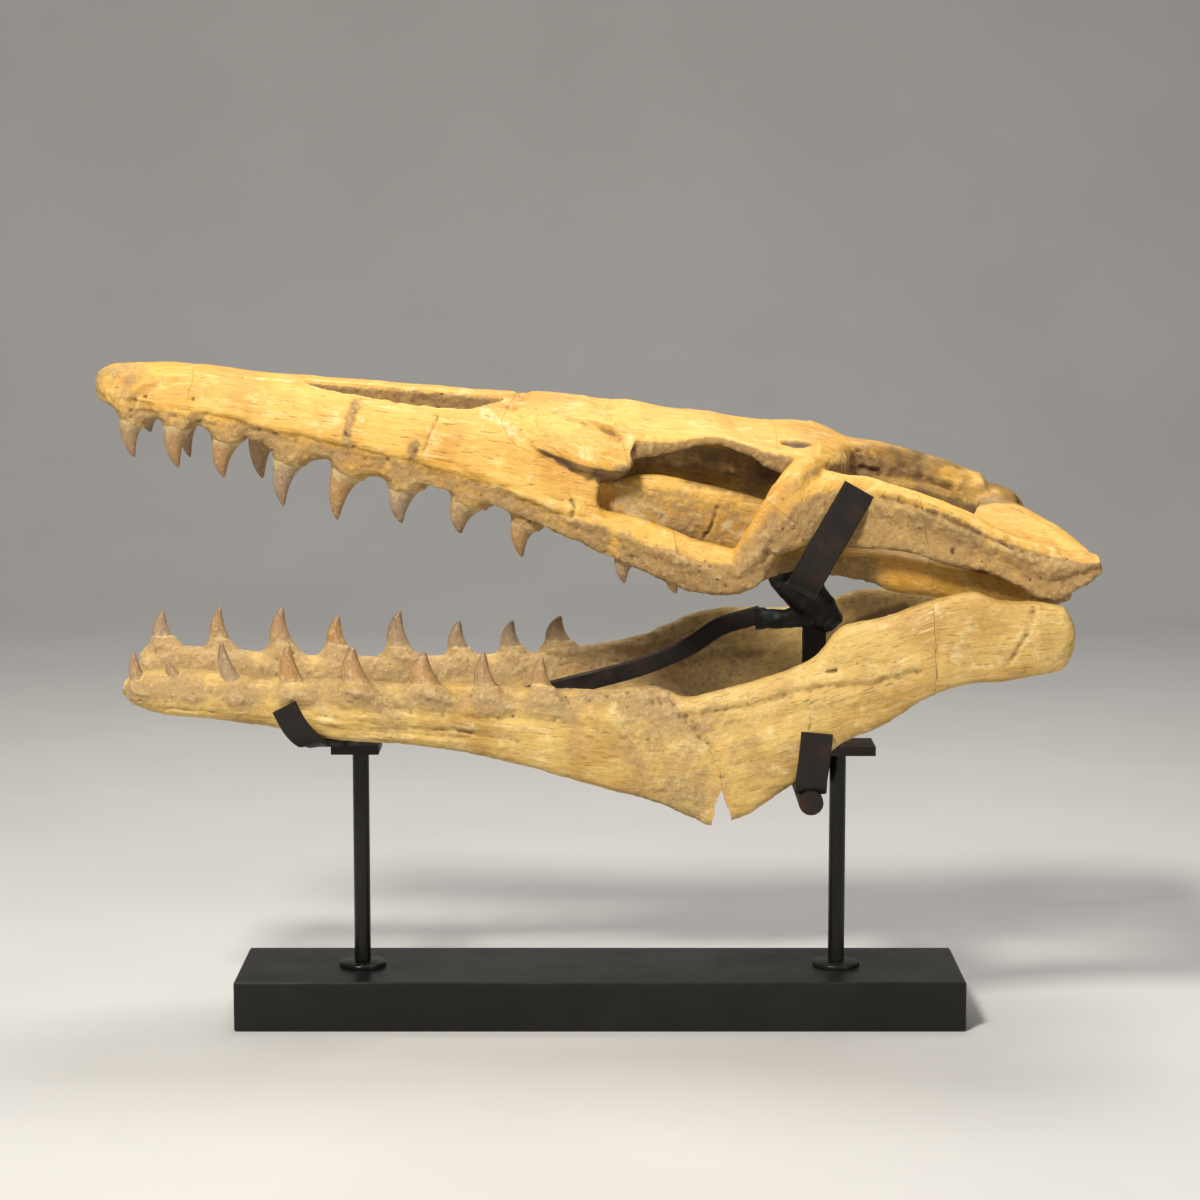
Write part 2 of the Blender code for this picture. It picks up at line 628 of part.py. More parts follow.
def box(name, low, high, colour, bevel=0.0):
    bm = bmesh.new()
    bmesh.ops.create_cube(bm, size=1.0)
    size = [h - l for l, h in zip(low, high)]
    middle = [(h + l) / 2 for l, h in zip(low, high)]
    placed = Matrix.Translation(Vector(middle) * MM) @ Matrix.Diagonal((*(Vector(size) * MM), 1))
    bmesh.ops.transform(bm, verts=bm.verts, matrix=placed)
    made = add_object(name, bm, parts)
    if bevel:
        edges = made.modifiers.new("bevel", 'BEVEL')
        edges.width = bevel * MM
        edges.segments = 1
    made.data.materials.append(colour)
    return made


def rod(name, x, y, low, high, diameter, colour, sides=16):
    bm = bmesh.new()
    bmesh.ops.create_cone(bm, cap_ends=True, segments=sides, radius1=diameter / 2 * MM,
                          radius2=diameter / 2 * MM, depth=(high - low) * MM,
                          matrix=Matrix.Translation(Vector((x, y, (low + high) / 2)) * MM))
    made = add_object(name, bm, parts)
    made.data.materials.append(colour)
    made.data.shade_smooth()
    made.data.set_sharp_from_angle(angle=math.radians(40))
    return made


def strap(name, path, width_axis, width, thickness, colour):
    """Flat steel bent along a path; width_axis is across the strap's broad face."""
    points = [Vector(p) for p in path]
    across = Vector(width_axis).normalized()
    rings = []
    for i, point in enumerate(points):
        along = (points[min(i + 1, len(points) - 1)] - points[max(i - 1, 0)]).normalized()
        side = (across - along * across.dot(along)).normalized()
        out = along.cross(side).normalized()
        rings.append([point + side * (width / 2 * a) + out * (thickness / 2 * b)
                      for a, b in ((1, 1), (-1, 1), (-1, -1), (1, -1))])
    made = loft(name, rings, parts)
    made.data.materials.append(colour)
    return made


def clear_of(piece, bones):
    """Cut back a piece of the stand where it would touch a bone."""
    for bone in bones:
        combine(piece, grown(bone), 'DIFFERENCE')


def straps(steel):
    """The flat straps that hold the bones and carry the stand's weight down to the rods."""
    sideways = (1, 0, 0)
    lean = (0.87, 0, -0.5)                  # square to the run of the upper straps
    flats = [
        ("stand_clip_front_left", FRONT_CLIP_LEFT, sideways, CLIP_FRONT_WIDTH, CLIP_THICKNESS),
        ("stand_clip_front_right", FRONT_CLIP_RIGHT, sideways, CLIP_FRONT_WIDTH, CLIP_THICKNESS),
        ("stand_clip_rear_left", REAR_CLIP_LEFT, sideways, CLIP_REAR_WIDTH, CLIP_THICKNESS),
        ("stand_clip_rear_right", REAR_CLIP_RIGHT, sideways, CLIP_REAR_WIDTH, CLIP_THICKNESS),
        ("stand_strap_left", UPPER_STRAP_LEFT, lean, STRAP_WIDTH, STRAP_THICKNESS),
        ("stand_strap_right", UPPER_STRAP_RIGHT, lean, STRAP_WIDTH, STRAP_THICKNESS),
        ("stand_strap_long", LONG_STRAP, (0, 0, 1), LONG_STRAP_WIDTH, STRAP_THICKNESS),
        ("stand_bar_front", FRONT_BAR, sideways, STRAP_WIDTH, STRAP_THICKNESS),
    ]
    return {name: strap(name, path, axis, width, thickness, steel)
            for name, path, axis, width, thickness in flats}


def stand(bones, lacquer, steel):
    bpy.context.view_layer.update()
    half_length, half_depth = BASE_LENGTH / 2, BASE_DEPTH / 2
    box("stand_base", (-half_length, -half_depth, 0), (half_length, half_depth, BASE_HEIGHT),
        lacquer, BASE_BEVEL)
    foot_top = BASE_HEIGHT + SEAM + FOOT_HEIGHT
    for name, x, plate in (("front", ROD_FRONT_X, PLATE_FRONT), ("rear", ROD_REAR_X, PLATE_REAR)):
        x_low, x_high, half, top = plate
        low = top - PLATE_THICKNESS
        rod("stand_foot_" + name, x, 0, BASE_HEIGHT + SEAM, foot_top, FOOT_DIAMETER, lacquer, 24)
        rod("stand_rod_" + name, x, 0, foot_top + SEAM, low - SEAM, ROD_DIAMETER, lacquer)
        box("stand_plate_" + name, (x_low, -half, low), (x_high, half, top), steel)

    pieces = straps(steel)
    radius = REAR_BAR_DIAMETER / 2
    cross_bar = [(REAR_BAR_X, y, REAR_BAR_HEIGHT, radius, radius) for y in REAR_BAR_ENDS]
    pieces["stand_bar_rear"] = loft("stand_bar_rear", round_bar(cross_bar), parts)
    pieces["stand_knuckle"] = unite("stand_knuckle", [bar("knuckle", KNUCKLE, 1), bar("arm", ARM, 1)])
    move_to_parts(pieces["stand_knuckle"])
    for name in ("stand_bar_rear", "stand_knuckle"):
        pieces[name].data.materials.append(steel)
    half = POST_SIDE / 2
    pieces["stand_post"] = box("stand_post", (POST_X - half, -half, PLATE_REAR[3] + SEAM),
                               (POST_X + half, half, POST_TOP), steel)
    bracket_top = PLATE_REAR[3] - PLATE_THICKNESS - SEAM
    x_low, x_high, half = BRACKET
    pieces["stand_bracket_rear"] = box("stand_bracket_rear", (x_low, -half, REAR_BAR_HEIGHT),
                                       (x_high, half, bracket_top), steel)

    # each piece of steel gives way to the ones before it, then to the bones it holds
    give_way = [
        ("stand_post", ["stand_knuckle"]),
        ("stand_bracket_rear", ["stand_bar_rear"]),
        ("stand_clip_front_left", ["stand_bar_front"]), ("stand_clip_front_right", ["stand_bar_front"]),
        ("stand_clip_rear_left", ["stand_bar_rear"]), ("stand_clip_rear_right", ["stand_bar_rear"]),
        ("stand_strap_left", ["stand_knuckle"]), ("stand_strap_right", ["stand_knuckle"]),
        ("stand_strap_long", ["stand_knuckle"]),
    ]
    for name, others in give_way:
        clear_of(pieces[name], [pieces[other] for other in others])
    holds = {
        "stand_bar_front": ["dentary_left", "dentary_right"],
        "stand_clip_front_left": ["dentary_left"], "stand_clip_front_right": ["dentary_right"],
        "stand_clip_rear_left": ["surangular_left"], "stand_clip_rear_right": ["surangular_right"],
        "stand_bar_rear": ["surangular_left", "surangular_right"],
        "stand_strap_left": ["squamosal_left", "postorbital_left"],
        "stand_strap_right": ["squamosal_right", "postorbital_right"],
    }
    for name, held in holds.items():
        clear_of(pieces[name], [bones[bone] for bone in held])


def round_bar(rows):
    """A round bar that runs along Y."""
    count = 16
    return [[(x + math.cos(math.tau * k / count) * half, y, z + math.sin(math.tau * k / count) * height)
             for k in range(count)] for x, y, z, height, half in rows]


def move_to_parts(piece):
    cutters.objects.unlink(piece)
    parts.objects.link(piece)
    piece.hide_render = False
    piece.display_type = 'TEXTURED'


def main():
    clear_scene()
    fossil = material("fossil_bone", (0.66, 0.46, 0.17), 0.6)
    lacquer = material("black_lacquer", (0.012, 0.012, 0.011), 0.45)
    steel = material("dark_steel", (0.035, 0.025, 0.02), 0.5, 0.8)
    bones = cranium(fossil)
    bones.update(jaw("left", LEFT_JAW, LOWER_TEETH_LEFT, fossil))
    bones.update(jaw("right", RIGHT_JAW, LOWER_TEETH_RIGHT, fossil))
    stand(bones, lacquer, steel)


main()
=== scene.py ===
"""Looks of the mosasaur skull on its stand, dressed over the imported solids.

Shapes are worked out in millimetres and made into meshes in metres.  The
cranium is drawn in its own upright frame and then leans towards its left
side, as the solids do.  The left side is -Y and faces the camera.
"""
import math

import bmesh
import bpy
import numpy as np
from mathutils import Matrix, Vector


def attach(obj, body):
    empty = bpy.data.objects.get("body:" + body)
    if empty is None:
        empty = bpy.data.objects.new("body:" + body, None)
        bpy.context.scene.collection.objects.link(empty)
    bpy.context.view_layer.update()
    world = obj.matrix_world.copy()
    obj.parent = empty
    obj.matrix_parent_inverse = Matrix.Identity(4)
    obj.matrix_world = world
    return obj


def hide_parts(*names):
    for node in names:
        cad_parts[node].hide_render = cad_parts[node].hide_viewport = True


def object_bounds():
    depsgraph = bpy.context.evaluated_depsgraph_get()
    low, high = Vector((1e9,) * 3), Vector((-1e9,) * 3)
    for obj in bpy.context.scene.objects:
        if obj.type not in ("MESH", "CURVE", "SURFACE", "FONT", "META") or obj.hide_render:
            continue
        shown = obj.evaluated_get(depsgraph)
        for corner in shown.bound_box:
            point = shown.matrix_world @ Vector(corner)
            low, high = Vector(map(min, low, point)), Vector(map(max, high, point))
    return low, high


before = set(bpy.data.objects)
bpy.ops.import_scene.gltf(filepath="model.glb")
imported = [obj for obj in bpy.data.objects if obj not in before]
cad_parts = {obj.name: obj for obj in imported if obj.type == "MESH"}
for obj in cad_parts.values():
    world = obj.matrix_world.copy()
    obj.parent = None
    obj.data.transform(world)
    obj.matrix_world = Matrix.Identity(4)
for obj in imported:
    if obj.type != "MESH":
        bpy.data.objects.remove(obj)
cad_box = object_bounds()

MM = 0.001
VOXEL = 1.1      # resolution of the bones' surface
SEAM = 0.22                             # width of the open sutures
FAR = 1e9                               # farther than any real distance
SMALLEST_BONE = 0.02                    # its points, as a share of the largest bone's
EASE = 0.6                              # how far one round of relaxing moves a value
LEAN, LEAN_HEIGHT = math.radians(7.0), 420.0
SECTION_POINTS = 90                     # points round half a section of the snout
BLOCK_POINTS = 48                       # points round half a section of the other blocks
JAW_POINTS = 72                         # points round a section of a lower jaw
TOOTH_POINTS, TOOTH_ROWS = 32, 32       # points round a tooth, and rows along it
NOTCH_POINTS, STRAP_POINTS, TURNED_POINTS = 60, 40, 64

# ---- the photograph's view --------------------------------------------------
CAMERA_DISTANCE, CAMERA_HEIGHT, CAMERA_PITCH = 2.25, 0.6044, 7.2
CAMERA_LENS, CAMERA_SENSOR = 90.0, 36.0

# ---- tables of the cranium --------------------------------------------------
# x, roof height, crest height, gum height, half width
SNOUT = [
    (-375.7, 490, 485, 479, 4), (-374.5, 493, 484, 476, 10), (-370, 497, 482, 473, 15.5),
    (-363, 499.6, 480, 470, 20.5), (-356, 500.3, 479, 467, 24), (-328, 500.3, 476, 464, 29.5),
    (-296, 498.5, 472, 458, 33), (-259, 493.6, 464, 449, 37), (-205, 489, 451, 436, 41.5),
    (-167, 486, 444, 424, 44.5), (-124, 483, 434, 415, 48.5), (-76, 478.5, 420, 401, 54),
    (-39, 477, 406, 387, 60), (0, 472.5, 397, 374, 66), (8, 471, 395, 372, 67),
]
# x, half width of the gap's outer edge; the inner edge is the bar's side
NARIS = [(-224, 9.5), (-215, 15), (-205, 19), (-170, 24), (-120, 28), (-98, 27), (-84, 23), (-72, 16),
         (-62, 10)]
NARIS_DEPTH, NARIS_WALL = 15.0, 3.0
INTERNARIAL_HALF_WIDTH = 9.0
# x, height of the lower edge, how far the plate stands proud of the snout, and the
# height of its slanting underside
PREFRONTAL = [(-72, 458, -0.5, 1), (-58, 452, 0.8, 2), (-45, 445, 3.0, 4), (-30, 439, 5.4, 6),
              (-12, 434, 7.4, 7), (4, 431, 8.6, 8), (18, 430, 8.6, 9), (23, 432, 7.5, 8)]
PREFRONTAL_DEPTH = 9.0
# x, roof height, outer edge height, rim height, half width
FRONTAL = [
    (-58, 474, 470, 455, 26), (5, 472, 462, 440, 44), (22, 472, 452, 436, 50), (48, 466.5, 449, 440, 47),
    (84, 461, 453, 446, 43), (103, 454.5, 450, 442, 49), (127, 453, 444, 430, 60),
    (150, 452, 442, 424, 68), (166, 449, 438, 422, 64),
    (176, 447, 434, 420, 50), (186, 444, 430, 417, 33),
]
# x, roof height, half width of the roof, half width below, bottom height
PARIETAL = [
    (160, 450, 60, 26, 420), (178, 445, 40, 24, 414), (190, 442, 20, 22, 408), (205, 441, 15, 20, 402),
    (233, 434.5, 11, 19, 396), (256, 427.5, 11, 20, 392), (279, 418.5, 15, 22, 388),
    (288, 415, 18, 22, 385), (289.5, 410.5, 18, 22, 385), (303, 405, 17, 20, 382),
    (312.5, 401.5, 15, 17, 381), (314.5, 393, 13, 16, 380), (319, 390, 9, 12, 380),
]
# x, top, bottom, half width
KEEL = [(0, 455, 428, 21), (60, 450, 424, 26), (110, 444, 415, 25), (168, 432, 400, 21)]
BRAINCASE = [
    (150, 425, 398, 17), (200, 420, 374, 21), (260, 410, 366, 25),
    (302, 392, 361, 24), (320, 377, 356, 11), (331, 374, 359, 8),
]
# Bars are rows of: x, y on the left side, z, half height, half thickness
BARS = {
    "cheek": [
        (-34, -47, 395, 11, 9), (6, -59, 385, 16, 9), (37, -66, 373.5, 17.5, 9),
        (73, -74, 361, 18, 8.5), (92, -81, 359.5, 17, 8), (108, -85, 362, 14, 7.5),
        (119, -86, 366, 8, 6),
    ],
    "postorbital_bar": [
        (100, -85, 358, 11, 7), (112, -85, 373, 14, 8), (126, -82, 395, 14.5, 8),
        (138, -77, 415, 14, 8), (150, -71, 431, 12, 8), (156, -66, 438, 8, 7),
    ],
    "arcade": [
        (140, -62, 428, 12, 9), (162, -70, 413, 21, 7), (187, -77, 404, 26, 7),
        (218, -85, 400, 22.5, 8), (254, -93, 390, 20.5, 9), (290, -100, 378, 15.5, 12),
        (311, -104, 370, 16.5, 13), (325, -107, 364.5, 18.5, 13.5), (340, -109, 367, 13, 11.5),
        (352, -110.5, 371, 10, 9), (360.5, -111, 373, 6, 6),
    ],
    "parietal_ramus": [
        (284, -6, 398, 11, 12), (306, -34, 391, 9, 14), (326, -62, 384, 8, 14), (342, -90, 377, 7, 12),
        (352, -104, 373, 5, 7),
    ],
    "web": [
        (124, -86, 379, 8, 6), (134, -86, 388, 14, 6.5), (146, -83, 397, 21, 7), (160, -79, 402, 26, 7.5),
        (178, -77, 403, 26, 7.5),
    ],
    "paroccipital": [(298, -14, 371, 7, 8), (312, -50, 367, 6, 7), (326, -98, 364, 7, 7)],
    "pterygoid": [
        (2, -38, 402, 16, 6), (30, -40, 402, 21, 6.5), (74, -42, 392.5, 24, 6.5),
        (104, -44, 384.5, 24.5, 6.5), (126, -46, 379, 22, 7), (148, -47, 367, 13.5, 7.5),
        (170, -50, 360, 9.5, 7.5), (192, -54, 359.5, 11.5, 8), (221, -65, 355.5, 15, 8),
        (257, -74, 351.5, 14, 8), (294, -84, 349, 12, 8), (322, -92, 347, 10, 8), (340, -100, 350, 7, 8),
    ],
    "ectopterygoid": [(152, -50, 366, 12, 8), (132, -64, 364, 10.5, 8), (112, -82, 359, 9, 8)],
    "basipterygoid": [(214, -10, 375, 9, 9), (214, -36, 366, 8, 8), (214, -65, 357, 8, 8)],
}
# The rear top face: x, y, z of its upper edge and of its lower edge
REAR_PLATE = [
    (284, -22, 402, 262, -88, 392), (296, -34, 401, 282, -97, 391), (312, -50, 398, 302, -101, 387),
    (330, -70, 391, 325, -105, 383), (346, -92, 381, 345, -107, 376), (354, -104, 375, 354, -109, 373),
]
REAR_PLATE_SAG, REAR_PLATE_DEPTH = 2.0, 7.0
# Sections of the bars: how far outward and how far up, as shares of the half sizes
ROUND = [(0.75, 0.7), (0, 1), (-0.75, 0.7), (-1, 0), (-0.75, -0.7), (0, -1), (0.75, -0.7), (1, 0)]
BAR_SHAPES = {
    "cheek": [(-0.9, 0.95), (0.0, 1.04), (0.55, 0.85), (1.08, 0.3), (0.98, -0.3), (0.75, -0.85),
              (0.2, -1.03), (-0.6, -0.98), (-1.0, -0.5), (-1.0, 0.4)],
    "postorbital_bar": [(-0.6, 1.0), (0.2, 1.02), (0.75, 0.75), (1.15, 0.2), (0.85, -0.45), (0.5, -0.95),
                        (-0.2, -1.04), (-0.9, -0.9), (-1.0, 0.0), (-0.95, 0.7)],
    "arcade": [(-0.6, 0.85), (-0.1, 1.04), (0.35, 0.98), (0.85, 0.75), (1.15, 0.45), (1.05, 0.15),
               (0.85, -0.15), (0.9, -0.5), (0.85, -0.9), (0.2, -1.03), (-0.6, -0.95), (-0.95, -0.3),
               (-0.85, 0.4)],
    "pterygoid": [(-0.5, 0.95), (0.3, 1.0), (0.9, 0.7), (1.0, 0.1), (0.85, -0.6), (0.3, -1.0),
                  (-0.4, -0.97), (-0.9, -0.5), (-1.0, 0.2)],
}
# The right cheek's rear is crushed: it hangs lower and ends further forward.
CRUSH_DROP, CRUSH_SHORTENING = 12.0, 0.45
CRUSH_FROM_X, CRUSH_FULL_X = 150.0, 290.0
CRUSH_FROM_Y, CRUSH_FULL_Y = 30.0, 70.0

# Teeth: the crown's front corner, tip and rear corner (x, z each), and y on the left side
UPPER_TEETH_LEFT = [
    (-357, 462, -347, 432, -337, 457, -22), (-324, 458, -314, 425, -301, 455, -26),
    (-287, 448, -280, 418, -264, 446, -29), (-242, 434, -236, 397, -219, 428, -32),
    (-198, 429, -196, 387, -175, 418, -35), (-156, 413, -148, 385, -130, 412, -38),
    (-110, 406, -104, 378, -84, 397, -43), (-66, 390, -58, 361, -45, 382, -47),
    (11, 369, 18, 345.5, 29, 362, -59), (48, 353, 56, 340, 63, 349, -68),
]
UPPER_TEETH_RIGHT = [
    (-348, 461, -340, 444, -328, 458, 22), (-320, 459, -311, 424, -300, 455, 26),
    (-295, 452, -286, 421, -273, 448, 29), (-266, 447, -257, 407, -240, 441, 31),
    (-202, 430, -198, 392, -178, 420, 35), (-158, 415, -150, 384, -134, 411, 38),
    (-112, 407, -104, 376, -86, 397, 43), (-64, 391, -55, 363, -42, 381, 48),
    (11, 369, 18, 350, 26, 363, 59), (48, 353, 55, 341, 61, 349, 68),
]
LOWER_TEETH_LEFT = [
    (-350, 266, -347, 285, -334, 261, -31), (-316, 264, -322, 279, -298, 262, -36),
    (-279, 264, -281, 295, -261, 264, -41), (-237, 266, -230, 295, -215, 265, -47),
    (-190, 269, -182, 293, -165, 265, -54), (-140, 268, -129, 290, -111, 264, -61),
    (-92, 266, -85, 291, -71, 264, -66), (-50, 268, -42, 288, -32, 266, -70),
]
LOWER_TEETH_RIGHT = [
    (-344, 285, -335, 308, -324, 283, 31), (-301, 284, -292, 310, -282, 280, 37),
    (-255, 280, -245, 309, -233, 275, 43), (-212, 277, -202, 302, -192, 273, 48),
    (-166, 275, -155, 305, -143, 271, 54), (-119, 272, -109, 296, -98, 270, 61),
    (-78, 273, -68, 296, -57, 271, 65), (-43, 277, -31, 299, -18, 274, 70),
]
# share of the crown's length, share of its width at the base
CROWN = [(-0.12, 0.97), (0.0, 0.98), (0.14, 0.84), (0.3, 0.71), (0.5, 0.56), (0.7, 0.41),
         (0.86, 0.26), (0.95, 0.15), (1.0, 0.04)]
CROWN_BOW, CROWN_BREADTH = 0.3, 0.78
# how far behind the crown's base, width and breadth against the crown's, how far the ring shifts back
COLLAR = [(-1.6, 1.0, 1.0, 0.0), (0.0, 1.08, 1.08, 0.01), (2, 1.16, 1.12, 0.03), (5, 1.42, 1.15, 0.1),
          (8, 1.85, 1.15, 0.2), (12, 2.3, 1.1, 0.25), (20, 2.3, 1.0, 0.25)]
LOWER_COLLAR = [(-5.0, 0.8, 0.9, -0.12), (-3.0, 0.92, 1.0, -0.06), (0.0, 1.14, 1.2, 0.04),
                (3, 1.45, 1.45, 0.18), (6, 1.85, 1.7, 0.34), (10, 2.3, 1.95, 0.44), (15, 2.6, 2.1, 0.44),
                (22, 2.1, 2.1, 0.4), (30, 1.2, 1.6, 0.4)]
COLLAR_SIDE, COLLAR_REACH = 1.5, 0.6     # the lower collars' breadth past the jaw's and their depth
TOOTH_INSET = 0.17                      # how far the upper teeth stand in, as a share of y

# ---- tables of the lower jaws -----------------------------------------------
# x, top, bottom, y on the left side, half thickness
LEFT_JAW = [
    (-356, 262, 254, -29, 5), (-348, 268, 246, -30, 11), (-329, 272, 239, -32, 14),
    (-295, 271, 236, -37, 15), (-249, 267, 232, -43, 15), (-200, 267, 223, -49, 14),
    (-149, 265, 220, -56, 13), (-102, 266, 215, -62, 13), (-52, 263, 205, -68, 13),
    (0, 263, 191, -75, 13), (37, 266, 182, -80, 12.5), (66, 259, 171, -85, 12),
    (82, 263, 165, -87, 11), (97, 267, 169, -89, 11), (131, 278, 190, -93, 11),
    (155, 290, 209, -96, 11), (177, 314, 229, -99, 11), (202, 319, 240, -102, 11),
    (234, 331, 261, -106, 12), (268, 340, 273, -109, 12), (291, 333, 275, -111, 12),
    (310, 333, 279, -113, 12), (332, 330, 284, -115, 11), (338, 322, 292, -115, 8),
    (341, 313, 301, -115, 4),
]
RIGHT_JAW = [
    (-353, 270, 262, 27, 5), (-345, 276, 254, 28, 11), (-322, 280, 246, 31, 14),
    (-290, 278, 243, 35, 15), (-245, 272, 236, 41, 15), (-200, 270, 227, 46, 14),
    (-149, 269, 223, 53, 13), (-102, 269, 217, 60, 13), (-49, 270, 206, 66, 13),
    (-8, 275, 195, 71, 13), (36, 283, 182, 77, 12.5), (58, 291, 172, 80, 11),
    (78, 299, 165, 82, 10), (100, 303, 166, 85, 10), (131, 302, 184, 88, 10),
    (155, 303, 203, 91, 11), (181, 309, 223, 94, 11), (210, 316, 237, 97, 11),
    (237, 315, 250, 99, 12), (276, 310, 258, 103, 12), (300, 304, 260, 105, 12),
    (326, 300, 264, 107, 11), (336, 292, 270, 107, 8), (339, 285, 276, 107, 4),
]
JAW_SECTION = [(0.35, 1.0), (0.72, 0.84), (0.95, 0.45), (1.0, 0.0), (0.92, -0.5), (0.5, -0.95),
               (-0.5, -0.95), (-0.92, -0.5), (-1.0, 0.0), (-0.95, 0.45), (-0.72, 0.84), (-0.35, 1.0)]


# ---- curves and noise -------------------------------------------------------
def curve(x, y, at):
    """A smooth curve through points, which never swings past them."""
    x, y, at = np.asarray(x, float), np.asarray(y, float), np.asarray(at, float)
    step = np.diff(x)
    slope = np.diff(y) / step
    tangent = np.zeros_like(y)
    tangent[0], tangent[-1] = slope[0], slope[-1]
    same = slope[:-1] * slope[1:] > 0
    before, after = np.where(same, slope[:-1], 1), np.where(same, slope[1:], 1)
    one, two = 2 * step[1:] + step[:-1], step[1:] + 2 * step[:-1]
    tangent[1:-1] = np.where(same, (one + two) / (one / before + two / after), 0)
    cell = np.clip(np.searchsorted(x, at, side='right') - 1, 0, len(x) - 2)
    t = (np.clip(at, x[0], x[-1]) - x[cell]) / step[cell]
    return (y[cell] * (2 * t**3 - 3 * t**2 + 1) + y[cell + 1] * (3 * t**2 - 2 * t**3)
            + step[cell] * (tangent[cell] * (t**3 - 2 * t**2 + t) + tangent[cell + 1] * (t**3 - t**2)))


def read(table, at, column):
    rows = np.array(table, float)
    return curve(rows[:, 0], rows[:, column], at)


def dense(rows, count):
    """Evenly shared rows on a smooth curve through some rows."""
    rows = np.array(rows, float)
    index = np.arange(len(rows))
    at = np.linspace(0, len(rows) - 1, count)
    return np.stack([curve(index, rows[:, k], at) for k in range(rows.shape[1])], axis=1)


def unit(vectors):
    return vectors / np.linalg.norm(vectors, axis=1)[:, None]


def smooth_path(table, step):
    """A table's rows, as a smooth curve with a row about every step millimetres."""
    rows = np.array(table, float)
    reach = min(3, rows.shape[1])
    run = np.concatenate([[0], np.cumsum(np.linalg.norm(np.diff(rows[:, :reach], axis=0), axis=1))])
    at = np.linspace(0, run[-1], max(3, int(run[-1] / step)))
    return np.stack([curve(run, rows[:, k], at) for k in range(rows.shape[1])], axis=1)


def smooth_step(low, high, value):
    t = np.clip((value - low) / (high - low), 0, 1)
    return t * t * (3 - 2 * t)


def corner_hash(x, y, z, seed):
    """A number from -1 to 1 for each cell corner, the same on every run."""
    h = (x.astype(np.uint32) * np.uint32(374761393) + y.astype(np.uint32) * np.uint32(668265263)
         + z.astype(np.uint32) * np.uint32(2246822519) + np.uint32(seed * 97 + 11) * np.uint32(3266489917))
    h = (h ^ (h >> np.uint32(15))) * np.uint32(2246822519)
    h = (h ^ (h >> np.uint32(13))) * np.uint32(3266489917)
    h = h ^ (h >> np.uint32(16))
    return h.astype(np.float32) / np.float32(2147483648.0) - np.float32(1)


def noise(points, size, seed):
    """Smooth noise from -1 to 1, with bumps about size millimetres across."""
    spot = points / np.asarray(size, float)
    low = np.floor(spot)
    t = (spot - low).astype(np.float32)
    t = t * t * t * (t * (t * 6 - 15) + 10)
    cell = low.astype(np.int64)
    total = 0
    for i in (0, 1):
        for j in (0, 1):
            for k in (0, 1):
                weight = ((t[:, 0] if i else 1 - t[:, 0]) * (t[:, 1] if j else 1 - t[:, 1])
                          * (t[:, 2] if k else 1 - t[:, 2]))
                corner = corner_hash(cell[:, 0] + i, cell[:, 1] + j, cell[:, 2] + k, seed)
                total = total + weight * corner
    return total


def layered(points, size, layers, seed):
    """Noise with finer and weaker noise on top of it."""
    size = np.asarray(size, float)
    total, weight, whole = 0, 1.0, 0.0
    for layer in range(layers):
        total = total + weight * noise(points, size / 2**layer, seed + layer)
        whole += weight
        weight *= 0.55
    return total / whole


def heaped(points, layers, seed):
    """Noise added up from layers of height, size, number of finer layers and seed."""
    return sum(height * layered(points, size, finer, seed + own) for height, size, finer, own in layers)


def pits(points, cell, radius, share, seed):
    """1 in the middle of a pit and 0 outside; a share of the cells holds one pit each."""
    spot = points / cell
    low = np.floor(spot)
    place = low.astype(np.int64).T
    jitter = 0.5 - radius / cell
    middle = [low[:, k] + 0.5 + jitter * corner_hash(*place, seed + k) for k in range(3)]
    away = np.sqrt(sum((spot[:, k] - middle[k])**2 for k in range(3))) * cell
    size = radius * (0.65 + 0.35 * corner_hash(*place, seed + 5))
    there = corner_hash(*place, seed + 9) < 2 * share - 1
    return np.where(there, smooth_step(1.0, 0.45, away / size), 0.0)


def path_distance(points, path):
    """How far points of a plane lie from a line through a path's corners."""
    best = np.full(len(points), 1e9)
    for start, end in zip(path, path[1:]):
        start, run = np.array(start, float), np.array(end, float) - np.array(start, float)
        share = np.clip(((points - start) @ run) / (run @ run), 0, 1)
        best = np.minimum(best, np.linalg.norm(points - start - share[:, None] * run, axis=1))
    return best


# ---- meshes -----------------------------------------------------------------
class Skins:
    """Closed skins gathered as triangles, to be made into one mesh."""

    def __init__(self):
        self.points, self.triangles, self.marks, self.count = [], [], [], 0

    def loft(self, rings, marks=None):
        """A skin through rings of points, closed at both ends; marks is a number for each ring."""
        rings = np.asarray(rings, float)
        rows, sides = rings.shape[:2]
        points = np.concatenate([rings.reshape(-1, 3), [rings[0].mean(0), rings[-1].mean(0)]])
        i, k = np.meshgrid(np.arange(rows - 1), np.arange(sides), indexing='ij')
        one, two = i * sides + k, i * sides + (k + 1) % sides
        wall = np.stack([one, two, two + sides, one, two + sides, one + sides], -1).reshape(-1, 3)
        k = np.arange(sides)
        first = np.stack([np.full(sides, rows * sides), (k + 1) % sides, k], -1)
        last = np.stack([np.full(sides, rows * sides + 1), k, (k + 1) % sides], -1)
        last[:, 1:] += (rows - 1) * sides
        triangles = np.concatenate([wall, first, last])
        corners = points[triangles]
        volume = np.einsum('ij,ij->i', corners[:, 0], np.cross(corners[:, 1], corners[:, 2])).sum()
        if volume < 0:
            triangles = triangles[:, ::-1]
        self.points.append(points)
        self.triangles.append(triangles + self.count)
        if marks is not None:
            marks = np.asarray(marks, float)
            self.marks.append(np.concatenate([np.repeat(marks, sides), [marks[0], marks[-1]]]))
        self.count += len(points)

    def mesh(self, name):
        return make_mesh(name, np.concatenate(self.points), np.concatenate(self.triangles))


